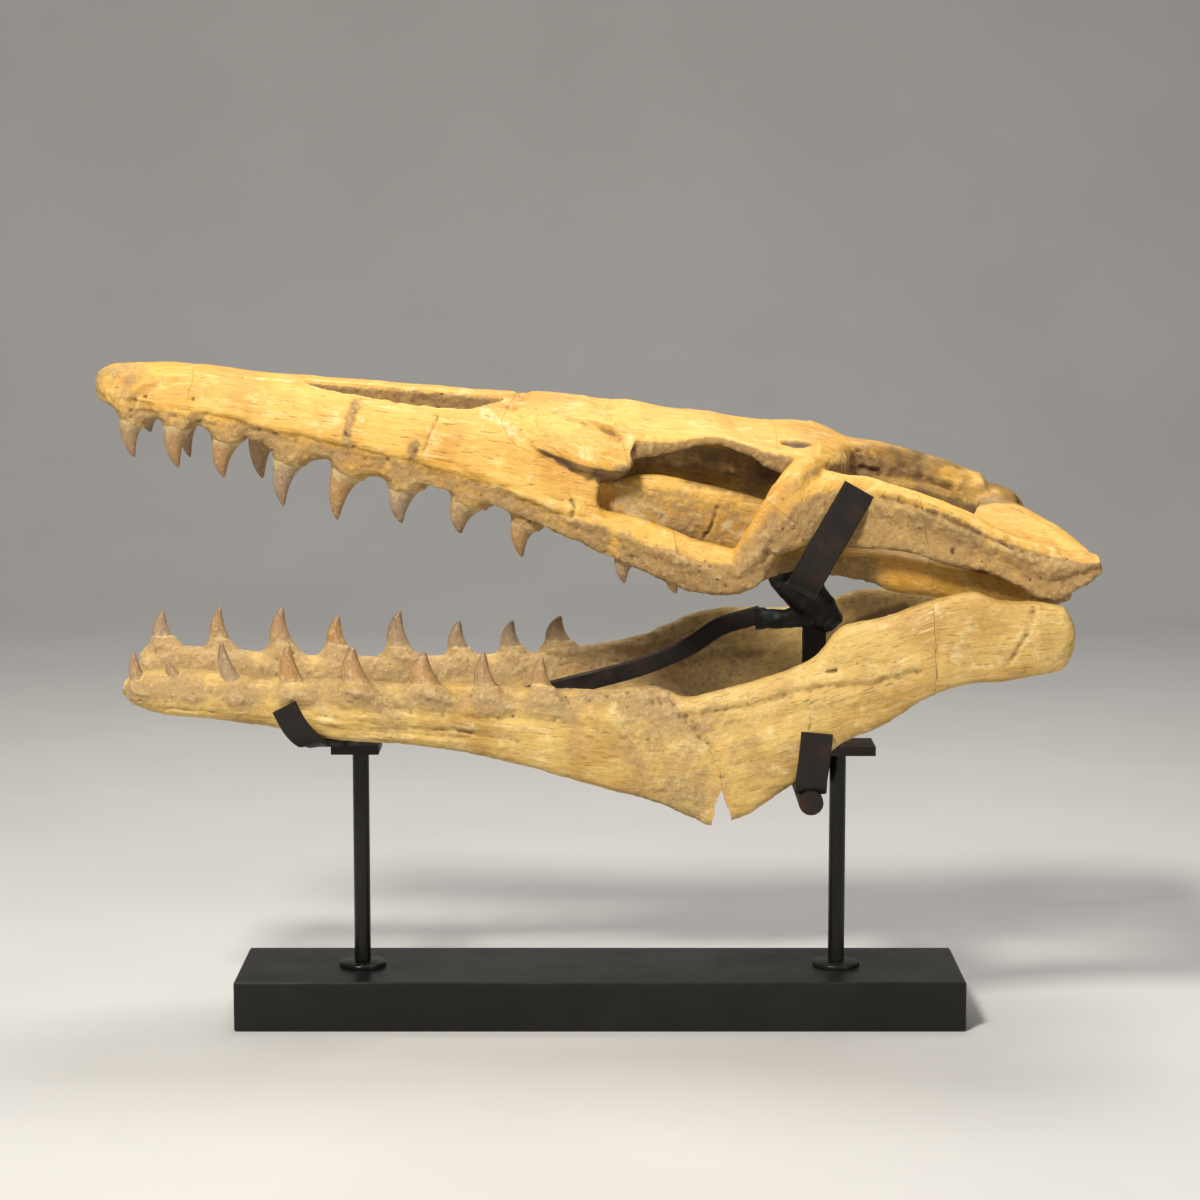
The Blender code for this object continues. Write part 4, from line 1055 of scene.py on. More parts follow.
def shaded(points, normals):
    """Painted shade: brown where a surface of the cranium faces down, lies inside it, or sits under a ledge
    or ridge.
    """
    x, y, z = points.T
    bar = lower_bar(points)
    under = 0.5 * smooth_step(-0.15, -0.6, normals[:, 2]) * smooth_step(-20, 20, x) * (1 - 0.8 * bar)
    inner = 0.8 * smooth_step(38, 32, np.abs(y)) * smooth_step(8, 20, x) * smooth_step(446, 438, z)
    wall = (0.4 * smooth_step(60, 40, np.abs(y)) * smooth_step(150, 180, x) * smooth_step(404, 396, z)
            * (1 - bar))
    roof = read(SNOUT, np.clip(x, -376, 8), 1)
    outer = read(NARIS, np.clip(x, -224, -62), 1)
    naris = 0.55 * ((x > -226) & (x < -60) & (np.abs(y) < outer + 1) & (z < roof - 5) & (z > roof - 24))
    edge = read(PREFRONTAL, np.clip(x, -72, 23), 1)
    slant = read(PREFRONTAL, np.clip(x, -72, 23), 3)
    # Painted shadow under the prefrontal plate's ragged lower edge.
    ledge = (1.2 * smooth_step(-62, -35, x) * smooth_step(30, 27, x) * smooth_step(edge + 2, edge, z)
             * smooth_step(edge - slant - 5, edge - slant - 2, z) * (np.abs(y) > 40)
             * smooth_step(0.35, 0.0, normals[:, 2]))
    line = read(ARCADE_RIDGE, np.clip(x, 205, 345), 2)
    # Painted shade on the arcade's side, just below its ridge.
    flank = (0.4 * smooth_step(212, 232, x) * smooth_step(330, 300, x) * smooth_step(72, 80, np.abs(y))
             * smooth_step(line + 1, line - 1, z) * smooth_step(line - 26, line - 10, z))
    return np.maximum.reduce([under, inner, wall, naris, ledge, flank])


def cranium_rough(points, normals):
    """1 where the cranium's skin is crumbly: above the teeth, at the tip, and on downward faces, where the
    tan it gives is partly painted shade.
    """
    x, y, z = points.T
    on_snout = np.clip(x, -376, 8)
    roof, crest = read(SNOUT, on_snout, 1), read(SNOUT, on_snout, 2)
    band = 0.95 * smooth_step(crest + 1, crest - 9, z) * smooth_step(25, 0, x)
    tip = smooth_step(-322, -352, x) * 0.75
    outer = read(NARIS, np.clip(x, -224, -62), 1)
    opening = ((x > -224) & (x < -62) & (np.abs(y) > 8) & (np.abs(y) < outer + 1) & (z < roof - 3.5)
               & (z > roof - 24))
    line = read(ARCADE_RIDGE, np.clip(x, 205, 345), 2)
    side = smooth_step(196, 206, x) * smooth_step(72, 80, np.abs(y)) * smooth_step(line + 1, line - 2, z)
    palate = smooth_step(4, 12, x) * smooth_step(150, 140, x) * smooth_step(62, 56, np.abs(y)) * (z < 430)
    bar = lower_bar(points)
    # Behind the snout, faces that turn from the top are tan: partly crumbly skin, partly painted shade.
    rear = (smooth_step(0, 20, x) * (0.05 + 0.95 * smooth_step(0.55, 0.05, normals[:, 2]))
            * (1 - np.maximum(0.3 * palate, 0.75 * bar)))
    ragged = 0.5 * layered(points, 20, 4, 91)
    return np.clip(np.maximum.reduce([band, tip, opening * 1.0, rear, side * (1 - bar)]) + ragged, 0, 1)


# The edge between the arcade's top and its rough side
ARCADE_RIDGE = [(205, -86, 419), (230, -92, 413), (253, -98, 407), (281, -107, 394), (310, -112, 384),
                (345, -112, 376)]
CRANIUM_MARKS = [
    ("groove", 1.2, 5.0, [(-346, -24, 466), (-347, -25, 474), (-342, -26, 482), (-327, -24, 489),
                          (-296, -20, 494)]),
    ("stain", 0.35, 4.0, [(-347, -25, 472), (-342, -26, 482), (-327, -24, 489)]),
    ("step", 0.5, 6.0, [(-341, -28, 470), (-322, -29, 469), (-300, -31, 464), (-280, -33, 460)]),
    ("groove", 0.6, 3.0, [(-296, -20, 493), (-252, -14, 491), (-224, -16, 488)]),
    ("crack", 0.8, 1.5, [(-120, -34, 467), (-124, -42, 455), (-129, -46, 443)]),
    ("crack", 0.4, 1.2, [(-120, -43, 453), (-107, -45, 447), (-88, -48, 440), (-80, -50, 436)]),
    ("groove", 0.9, 3.0, [(-110, -49, 435), (-96, -51, 426), (-73, -54, 419), (-51, -57, 414),
                          (-29, -61, 409)]),
    ("groove", 2.4, 2.8, [(-21, -61, 408), (-19, -62, 402), (-21, -61, 396)]),
    ("rubble", 1.0, 7.0, [(-137, -45, 447), (-138, -45, 432)]),
    ("stain", 0.35, 8.0, [(-137, -45, 447), (-138, -45, 432)]),
    ("rubble", 0.9, 7.0, [(-179, -28, 477), (-183, -37, 464), (-187, -42, 450), (-184, -41, 442)]),
    ("crack", 1.0, 2.0, [(-187, -41, 455), (-182, -41, 449), (-180, -42, 444)]),
    ("pit", 4.5, 8.0, [(138, -44, 448), (150, -43, 448), (144, -49, 447)]),
    # Painted shade: the foramen's pit darkened inside like a deep hole.
    ("stain", 1.0, 9.0, [(138, -44, 449), (150, -43, 449), (144, -48, 448)]),
    ("pit", 3.5, 4.0, [(176, -30, 429), (194, -21, 425), (207, -19, 421)]),
    ("crack", 2.6, 3.2, [(192, -20, 438), (206, -20, 435), (218, -18, 432)]),
    ("crack", 2.8, 3.2, [(203, -20, 431), (220, -20, 427), (234, -20, 423)]),
    ("crack", 2.2, 3.0, [(190, -23, 430), (212, -21, 425)]),
    ("crack", 2.4, 3.0, [(222, -16, 433), (246, -16, 426)]),
    ("crack", 2.0, 2.6, [(238, -19, 418), (262, -20, 410)]),
    ("rubble", 0.9, 10.0, [(200, -20, 430), (225, -20, 424)]),
    ("stain", 0.6, 9.0, [(236, -21, 410), (262, -23, 402), (282, -24, 394)]),
    ("stain", 0.5, 9.0, [(200, -20, 433), (228, -20, 426)]),
    ("ridge", 2.4, 7.0, [(105, -92, 366), (112, -93, 375), (127, -90, 395), (138, -86, 411),
                         (145, -82, 430)]),
    ("ridge", 2.2, 6.5, [(-18, -61, 395), (0, -67, 392), (29, -74, 381), (51, -78, 373), (73, -83, 364),
                         (88, -88, 356)]),
    ("ridge", 1.8, 7.0, [(-30, -59, 403), (-20, -62, 397), (-60, -56, 414)]),
    ("pit", 2.2, 3.0, [(254, -102, 379)]),
    ("stain", 0.8, 4.0, [(254, -102, 379)]),
    ("groove", 2.2, 3.2, [(217, -92, 416), (238, -97, 408), (259, -103, 400), (280, -108, 391),
                          (302, -114, 382)]),
    ("groove", 1.8, 3.0, [(225, -92, 402), (252, -98, 393), (280, -106, 385), (304, -112, 376)]),
    ("groove", 1.5, 3.0, [(268, -104, 390), (292, -111, 381), (318, -118, 372)]),
    ("groove", 1.2, 2.6, [(232, -93, 392), (262, -99, 383)]),
    ("step", 1.6, 9.0, ARCADE_RIDGE),
    ("stain", 0.45, 9.0, [(226, -93, 406), (252, -100, 398), (276, -106, 390)]),
    ("crack", 2.0, 2.2, [(86, -49, 400), (83, -49, 387), (76, -48, 374)]),
    ("plaster", 0.0, 18.0, [(16, -46, 400), (44, -46, 394)]),
    ("plaster", 0.0, 12.0, [(92, -50, 386), (112, -50, 380)]),
    # Painted shade along the palate's top edge, for the dark slit under the roof.
    ("stain", 0.75, 9.0, [(12, -38, 418), (40, -38, 420), (74, -40, 415), (104, -42, 407),
                          (128, -45, 399)]),
    ("pit", 1.6, 2.2, [(77, -83, 368)]),
    ("pit", 1.6, 2.0, [(73, -84, 360)]),
    ("crack", 0.7, 1.4, [(27, -72, 366), (26, -73, 358), (28, -70, 350)]),
    ("groove", 2.0, 9.0, [(-64, -24, 472), (-57, 0, 477), (-64, 24, 472)]),
    ("groove", 2.0, 12.0, [(4, -30, 468), (1, 0, 472), (4, 30, 468)]),
    ("groove", 0.8, 4.0, [(-30, -30, 472), (-5, -38, 465), (14, -50, 452)]),
    ("pit", 2.0, 2.6, [(-336, -27, 480)]),
    ("pit", 1.8, 2.2, [(-344, -26, 477)]),
    ("pit", 1.4, 1.8, [(-322, -29, 482)]),
    ("pit", 1.4, 1.8, [(-300, -31, 478)]),
    ("plaster", 0.3, 4.0, [(-262, -14, 492), (-230, -14, 489)]),
    ("plaster", 0.3, 4.0, [(-178, -37, 467), (-175, -38, 464)]),
    ("plaster", 0.3, 5.0, [(-162, -45, 444)]),
    ("plaster", 0.3, 5.0, [(-252, -34, 462), (-238, -36, 458)]),
    ("plaster", 0.3, 8.0, [(0, -66, 412), (-8, -66, 418), (-14, -64, 424)]),
    ("plaster", 0.3, 5.0, [(192, -55, 368), (194, -58, 360)]),
    ("plaster", 0.3, 4.0, [(-126, -41, 458), (-123, -43, 452)]),
    ("plaster", 0.2, 11.0, [(-84, -32, 470), (-74, -38, 462), (-60, -46, 454)]),
]


def dress_cranium(materials):
    seeds = {"premaxilla": (-296, 0, 462), "frontal": (33, 0, 448), "parietal": (231, 0, 410),
             "braincase": (254, 0, 375)}
    for name, y in (("left", -1), ("right", 1)):
        seeds.update({
            "maxilla_" + name: (-103, 39 * y, 413), "prefrontal_" + name: (-14, 42 * y, 447),
            "jugal_" + name: (106, 80 * y, 369), "postorbital_" + name: (159, 70 * y, 422),
            "squamosal_" + name: (316, 93 * y, 370), "pterygoid_" + name: (163, 55 * y, 370),
        })
    whole = whole_cranium()
    weathered(whole, 3, cranium_flow, cranium_rough, CRANIUM_MARKS, cranium_streak,
              [(6, 408, 24), (172, 430, 26), (149, 431, 15)], shaded)
    finish_bones(whole, cranium_cuts(), seeds, materials["bone"], "fossil_bone", leaned)


def filled(values, known, edges):
    """Values where they are known, and their neighbours' values on the walls of the cuts."""
    count, known = len(values), known.copy()
    for _ in range(4):
        total, weight = np.zeros(count), np.zeros(count)
        for one, two in ((0, 1), (1, 0)):
            total += np.bincount(edges[:, one], values[edges[:, two]] * known[edges[:, two]], count)
            weight += np.bincount(edges[:, one], known[edges[:, two]], count)
        fill = ~known & (weight > 0)
        values = np.where(fill, total / np.maximum(weight, 1), values)
        known |= fill
    return values


def finish_bones(whole, cuts, seeds, material, slot, place):
    """One piece for each bone, in place of its node; none reaches past the CAD's box."""
    made, owner = parted(whole, cuts, list(seeds.values()))
    edges = get_edges(made)
    known = get_attribute(made, "skin") > 0.5
    for name in ("relief", "rough", "dark", "pale"):
        set_attribute(made, name, filled(get_attribute(made, name), known, edges))
    for number, name in enumerate(seeds):
        bone = part_of(made, "bone_" + name, owner == number)
        local = get_points(bone)
        slope = SLOPES[name.split("_")[0]]
        set_attribute(bone, "grain", along_slope(local, slope) * MM)
        set_points(bone, np.clip(place(local), *(np.array(cad_box) / MM)))
        put("bone_" + name, bone, material, slot, name, sharp=55)


def unmoved(points):
    return points


# ---- lower jaws -------------------------------------------------------------
ANGULAR_NOTCH = [(89, 194), (84, 180), (82, 168), (79, 150), (100, 150), (96, 170), (92, 182)]
JAW_MARKS = {
    "left": [
        ("step", 1.0, 11.0, [(60, -96, 248), (87, -98, 254), (109, -101, 258), (145, -106, 269),
                             (166, -109, 273), (195, -112, 275), (225, -117, 285)]),
        ("crack", 0.8, 1.6, [(60, -96, 247), (87, -98, 252), (109, -101, 255), (130, -104, 260)]),
        # Painted shade below the surangular's step.
        ("stain", 0.3, 9.0, [(70, -97, 241), (100, -99, 243), (140, -104, 254), (190, -111, 262),
                             (225, -116, 272)]),
        ("crack", 0.7, 1.3, [(242, -118, 332), (243, -119, 310), (242, -119, 290), (243, -116, 266)]),
        ("groove", 1.8, 6.0, [(50, -92, 262), (56, -94, 252), (65, -97, 241), (80, -98, 222),
                              (89, -98, 205)]),
        ("pit", 2.2, 2.6, [(60, -95, 251), (65, -96, 252)]),
        ("pit", 3.0, 2.4, [(162, -108, 282), (170, -108, 283)]),
        ("stain", 0.35, 3.0, [(311, -122, 331), (309, -124, 321), (305, -125, 311), (299, -125, 300)]),
        ("groove", 1.5, 3.5, [(311, -122, 331), (309, -124, 321), (305, -125, 311), (299, -125, 300),
                              (293, -124, 290)]),
        ("stain", 0.35, 16.0, [(322, -124, 310), (332, -124, 300)]),
        ("crack", 0.6, 1.3, [(153, -107, 270), (150, -106, 257), (153, -107, 245), (150, -105, 232)]),
        ("plaster", 0.4, 3.0, [(153, -107, 256)]),
        ("rubble", 1.0, 11.0, [(-34, -81, 262), (0, -84, 262), (29, -88, 262), (46, -92, 258)]),
        ("ridge", 1.8, 6.0, [(-205, -64, 238), (-160, -69, 243), (-120, -73, 241), (-80, -78, 237),
                             (-50, -81, 234)]),
        ("groove", 1.6, 6.0, [(-200, -62, 230), (-150, -68, 231), (-100, -75, 229), (-60, -80, 226)]),
        ("ridge", 1.4, 6.0, [(-110, -73, 246), (-70, -79, 250), (-30, -83, 247), (20, -89, 243)]),
        ("groove", 1.0, 2.0, [(-60, -77, 224), (-20, -82, 214), (25, -88, 205)]),
        ("groove", 0.9, 2.0, [(-330, -44, 244), (-280, -51, 243), (-230, -58, 238), (-180, -63, 238)]),
        ("groove", 1.3, 2.6, [(-225, -58, 244), (-160, -69, 236), (-100, -75, 232), (-60, -80, 226)]),
        ("stain", 0.35, 12.0, [(0, -87, 232), (40, -91, 226)]),
        ("stain", 0.3, 9.0, [(255, -119, 300), (285, -122, 300)]),
    ],
    "right": [
        ("stain", 0.75, 8.0, [(192, 84, 286), (205, 85, 292), (222, 86, 298), (240, 87, 303)]),
        ("groove", 1.4, 3.0, [(-30, 60, 262), (30, 66, 264), (78, 70, 272), (110, 74, 285)]),
        ("stain", 0.5, 8.0, [(60, 68, 262), (100, 72, 268), (130, 76, 270)]),
        ("rubble", 0.9, 8.0, [(-8, 66, 272), (14, 67, 279), (43, 70, 284)]),
        ("ridge", 4.0, 9.0, [(47, 71, 286), (62, 74, 293), (78, 76, 298), (112, 79, 298)]),
        ("pit", 6.0, 8.0, [(121, 80, 303), (123, 80, 298)]),
    ],
}


def notch(seed):
    """The cut that sets the angular apart below."""
    outline = resampled(np.array(ANGULAR_NOTCH), NOTCH_POINTS)
    spots = np.column_stack([outline, np.full(NOTCH_POINTS, seed * 3.1)])
    outline = outline + np.stack([noise(spots, 4.0, seed), noise(spots, 4.0, seed + 1)], axis=1)
    skins = Skins()
    skins.loft([np.column_stack([outline[:, 0], np.full(NOTCH_POINTS, y), outline[:, 1]])
                for y in (-200.0, 200.0)])
    return skins.mesh("notch")


def jaw_flow(points):
    level = levelled(points, [-380, -100, 20, 60, 160, 230, 365], [0.0, -0.06, -0.22, -0.1, 0.3, 0.35, 0.1])
    return np.stack([points[:, 0], points[:, 1], level], axis=1)


def jaw(name, table, teeth, tuck, materials, seed):
    """A lower jaw's three bones; tuck is how far the collars' roots draw in to the jaw."""
    xs, top, low, y, half = stations(table)
    section = closed_section(JAW_SECTION, JAW_POINTS)
    rings = []
    for k, x in enumerate(xs):
        middle, height = (top[k] + low[k]) / 2, (top[k] - low[k]) / 2
        rings.append(np.column_stack([np.full(JAW_POINTS, x), y[k] + half[k] * section[:, 0],
                                      middle + height * section[:, 1]]))
    skins = Skins()
    skins.loft(rings)
    for row in teeth:
        upper, lower, side = (read(table, row[0], k) for k in (1, 2, 4))
        thickest, deepest = COLLAR_SIDE + side, (upper - lower) * COLLAR_REACH
        collar(skins, row, LOWER_COLLAR, thickest, deepest, tuck)
    whole = fused("jaw", skins)

    def rough(points, normals):
        x, y, z = points.T
        gum = read(table, x, 1)
        band = smooth_step(gum - 30, gum - 4, z) * smooth_step(70, 40, x)
        # Faces that turn from the top, and the jaw's middle stretch, are tan; on the turned faces that is
        # partly painted shade.
        side = (smooth_step(0.7, 0.1, normals[:, 2]) * 0.3
                + 0.3 * smooth_step(0, 40, x) * smooth_step(130, 70, x))
        inner = 0.3 * smooth_step(-0.2, 0.5, -np.sign(y) * normals[:, 1])
        around = np.zeros(len(points))
        for row in teeth:
            middle, base = (row[0] + row[4]) / 2 + 3, (row[1] + row[5]) / 2 - 4
            around = np.maximum(around, np.exp(-((x - middle) / 13)**2 - ((z - base) / 9)**2))
        ragged = 0.55 * layered(points, 22, 4, seed + 91)
        return np.clip(0.5 * band + side + inner + 0.6 * around + ragged, 0, 1)

    weathered(whole, seed, jaw_flow, rough, JAW_MARKS[name])
    cuts = [
        notch(seed),
        ribbon([(46, 330), (50, 259), (80, 222), (88, 206), (88, 140)], -200, 200, 'XZ', seed, 1.5),
        ribbon([(239, 360), (243, 230)], -200, 200, 'XZ', seed + 1, 1.5),
    ]
    y = table[len(table) // 2][3]
    seeds = {"dentary_" + name: (-150, y * 0.7, 245), "surangular_" + name: (150, y * 1.1, 250),
             "articular_" + name: (290, y * 1.3, 305)}
    finish_bones(whole, cuts, seeds, materials["jaw"], "fossil_jaw", unmoved)


# ---- crowns -----------------------------------------------------------------
def crowns(name, rows, material, slot, place):
    skins = Skins()
    for row in rows:
        crown(skins, row)
    mesh = skins.mesh(name)
    corners = np.array([(row[0], row[1], row[6]) for row in rows]).astype(int)
    tones = 0.5 + 0.5 * corner_hash(*corners.T, 5)
    set_attribute(mesh, "share", np.concatenate(skins.marks))
    set_attribute(mesh, "tone", np.repeat(tones, skins.count // len(rows)))
    points = get_points(mesh)
    grain = 0.16 * layered(points, (2.5, 2.5, 10), 3, 17)
    set_points(mesh, place(points + get_normals(mesh) * grain[:, None]))
    put(name, mesh, material, slot)


# ---- stand ------------------------------------------------------------------
BASE_HEIGHT, GAP = 38.0, 0.3            # the gap that the solids leave between neighbours
ROD_DIAMETER, ROD_XS = 12.5, (-182.0, 181.0)
FOOT_DIAMETER, FOOT_HEIGHT = 36.0, 3.0
PLATE_THICKNESS, PLATE_TOPS = 7.0, (212, 211)
FRONT_BAR = [(-205, -54, 219.6), (-205, -36, 219.6), (-203, -22, 215), (-203, 22, 215),
             (-205, 34, 224), (-205, 54, 224)]
FRONT_CLIP_LEFT = [(-233, -65.5, 249), (-225, -65.5, 234), (-215, -62, 223), (-209, -54, 219)]
FRONT_CLIP_RIGHT = [(-230, 63.5, 253), (-222, 63.5, 239), (-213, 60, 228), (-208, 54, 223.5)]
REAR_CLIP_LEFT = [(157, -110.5, 237), (155, -110.5, 216), (153, -110, 199), (153, -106, 193)]
REAR_CLIP_RIGHT = [(157, 105.5, 231), (155, 105.5, 213), (153, 105, 199), (153, 101, 193)]
UPPER_STRAP_LEFT = [(188, -84.5, 412), (171, -85, 382), (157, -85, 357), (150, -79, 343),
                    (148, -66, 336.5), (148, -26, 333)]
UPPER_STRAP_RIGHT = [(188, 88.5, 428), (171, 89.5, 399), (157, 88, 374), (150, 81, 359),
                     (148, 64, 346), (148, 26, 336)]
LONG_STRAP = [(120, -9, 310), (114, -6, 308), (91, 0, 300), (68, 0, 285), (30, 0, 269), (0, 0, 260.5),
              (-22, 0, 255), (-58, 0, 246.5), (-120, 0, 233), (-184, 0, 221)]
KNUCKLE = [(127, -16, 351, 8, 7), (139, -15, 341, 13, 11), (152, -13, 328, 14, 13),
           (166, -10, 314, 13, 12), (176, -8, 302, 9, 9)]
ARM = [(117, -14, 308, 8, 7), (136, -14, 308, 7, 6), (158, -12, 310, 8, 8)]
SIDEWAYS, LEANING, UPRIGHT = (1, 0, 0), (0.87, 0, -0.5), (0, 0, 1)
# name, path, the way that its width points, width, thickness
FLAT_STEEL = [
    ("clip_front_left", FRONT_CLIP_LEFT, SIDEWAYS, 19, 4),
    ("clip_front_right", FRONT_CLIP_RIGHT, SIDEWAYS, 19, 4),
    ("clip_rear_left", REAR_CLIP_LEFT, SIDEWAYS, 23, 4),
    ("clip_rear_right", REAR_CLIP_RIGHT, SIDEWAYS, 23, 4),
    ("strap_left", UPPER_STRAP_LEFT, LEANING, 24, 5),
    ("strap_right", UPPER_STRAP_RIGHT, LEANING, 24, 5),
    ("strap_long", LONG_STRAP, UPRIGHT, 14, 5),
    ("bar_front", FRONT_BAR, SIDEWAYS, 24, 5),
]


def strap(path, width_axis, width, thickness):
    """Flat steel with soft edges, bent along a path."""
    points = smooth_path(np.array(path, float), 3.0)
    along = unit(np.gradient(points, axis=0))
    across = np.array(width_axis, float)
    across /= np.linalg.norm(across)
    side = unit(across - along * (along @ across)[:, None])
    out = np.cross(along, side)
    edge = min(0.9, thickness * 0.25)
    wide, deep = width / 2, thickness / 2
    corners = [(wide - edge, deep), (0, deep), (-wide + edge, deep), (-wide, deep - edge),
               (-wide, -deep + edge), (-wide + edge, -deep), (0, -deep), (wide - edge, -deep),
               (wide, -deep + edge), (wide, deep - edge)]
    outline = resampled(corners, STRAP_POINTS)
    skins = Skins()
    skins.loft(points[:, None] + side[:, None] * outline[None, :, :1] + out[:, None] * outline[None, :, 1:])
    return skins


def knuckle(name):
    """The welded knot of steel between the straps, with beads all over it."""
    skins = Skins()
    for table in (KNUCKLE, ARM):
        skins.loft(bar_rings(table, 1.5, 32))
    mesh = skins.mesh(name)
    points = get_points(mesh)
    beads = layered(points, 9, 3, 61) + 0.5 * np.abs(noise(points, 3.5, 62))
    set_points(mesh, points + get_normals(mesh) * (1.6 * beads)[:, None])
    return mesh


def turned(x, profile):
    """A round skin about a vertical axis; the profile is radius and height from the bottom up."""
    angle = math.tau * np.arange(TURNED_POINTS) / TURNED_POINTS
    skins = Skins()
    skins.loft([np.column_stack([x + np.cos(angle) * radius, np.sin(angle) * radius,
                                 np.full(TURNED_POINTS, height)]) for radius, height in profile])
    return skins


def stand(materials):
    foot_low = BASE_HEIGHT + GAP
    foot_top = foot_low + FOOT_HEIGHT
    rod_low = foot_top + GAP
    for end, x, plate_top in zip(("front", "rear"), ROD_XS, PLATE_TOPS):
        radius, top = ROD_DIAMETER / 2, plate_top - PLATE_THICKNESS - GAP
        rod = turned(x, [(radius - 0.4, rod_low), (radius, rod_low + 0.4), (radius, top - 0.4),
                         (radius - 0.4, top)])
        radius = FOOT_DIAMETER / 2
        foot = turned(x, [(radius, foot_low), (radius, foot_top - 1), (radius - 0.3, foot_top - 0.4),
                          (radius - 1, foot_top)])
        for name, skins in (("rod_" + end, rod), ("foot_" + end, foot)):
            put(name, skins.mesh(name), materials["rod"], "black_rod", "stand_" + name, sharp=35)
    for name, path, axis, width, thickness in FLAT_STEEL:
        mesh = strap(path, axis, width, thickness).mesh("steel_" + name)
        put("steel_" + name, mesh, materials["steel"], "dark_steel", "stand_" + name, sharp=35)
    put("steel_knuckle", knuckle("steel_knuckle"), materials["weld"], "dark_steel", "stand_knuckle", sharp=35)
    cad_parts["stand_base"].material_slots[0].material = materials["lacquer"]
    for node in ("plate_front", "plate_rear", "bar_rear", "bracket_rear", "post"):
        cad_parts["stand_" + node].material_slots[0].material = materials["steel"]


# ---- materials --------------------------------------------------------------
class Paint:
    """A material's nodes, made in a line."""

    def __init__(self, name):
        self.material = bpy.data.materials.new(name)
        self.material.use_nodes = True
        self.tree = self.material.node_tree
        self.shader = self.tree.nodes["Principled BSDF"]

    def feed(self, socket, value):
        """Link a socket, or set its value."""
        if isinstance(value, bpy.types.NodeSocket):
            self.tree.links.new(value, socket)
        else:
            socket.default_value = value

    def node(self, kind, inputs, **settings):
        """A new node's outputs; its inputs are fed by name or by number."""
        made = self.tree.nodes.new("ShaderNode" + kind)
        for key, value in settings.items():
            setattr(made, key, value)
        for key, value in inputs.items():
            self.feed(made.inputs[key], value)
        return made.outputs

    def attribute(self, name, output="Fac"):
        return self.node("Attribute", {}, attribute_name=name)[output]

    def place(self):
        return self.node("TexCoord", {})["Object"]

    def stretched(self, vector, scale):
        return self.node("Mapping", {"Vector": vector, "Scale": scale})["Vector"]

    def noise(self, vector, scale, detail, roughness, distortion=0.0):
        return self.node("TexNoise", {"Vector": vector, "Scale": scale, "Detail": detail,
                                      "Roughness": roughness, "Distortion": distortion})["Fac"]

    def range(self, value, low, high, to_low=0.0, to_high=1.0):
        return self.node("MapRange", {"Value": value, "From Min": low, "From Max": high, "To Min": to_low,
                                      "To Max": to_high}, interpolation_type='SMOOTHSTEP')["Result"]

    def plus(self, one, two):
        return self.node("Math", {0: one, 1: two}, operation='ADD')[0]

    def minus(self, one, two):
        return self.node("Math", {0: one, 1: two}, operation='SUBTRACT')[0]

    def times(self, one, two):
        return self.node("Math", {0: one, 1: two}, operation='MULTIPLY')[0]

    def mix(self, share, one, two):
        one, two = (part if isinstance(part, bpy.types.NodeSocket) else (*part, 1) for part in (one, two))
        return self.node("Mix", {"Factor": share, 6: one, 7: two}, data_type='RGBA')[2]

    def tints(self, colour, *rows):
        """The colour, turned to each other colour in turn, by amount where value is at high."""
        for value, low, high, amount, other in rows:
            colour = self.mix(self.range(value, low, high, 0.0, amount), colour, other)
        return colour

    def bump(self, height, strength, distance):
        return self.node("Bump", {"Height": height, "Strength": strength, "Distance": distance})["Normal"]

    def finish(self, colour, roughness, normal=None, metallic=0.0, specular=0.5):
        self.feed(self.shader.inputs["Base Color"], colour)
        self.feed(self.shader.inputs["Roughness"], roughness)
        self.feed(self.shader.inputs["Metallic"], metallic)
        self.shader.inputs["Specular IOR Level"].default_value = specular
        if normal is not None:
            self.feed(self.shader.inputs["Normal"], normal)
        return self.material


PLASTER = (0.78, 0.64, 0.38)


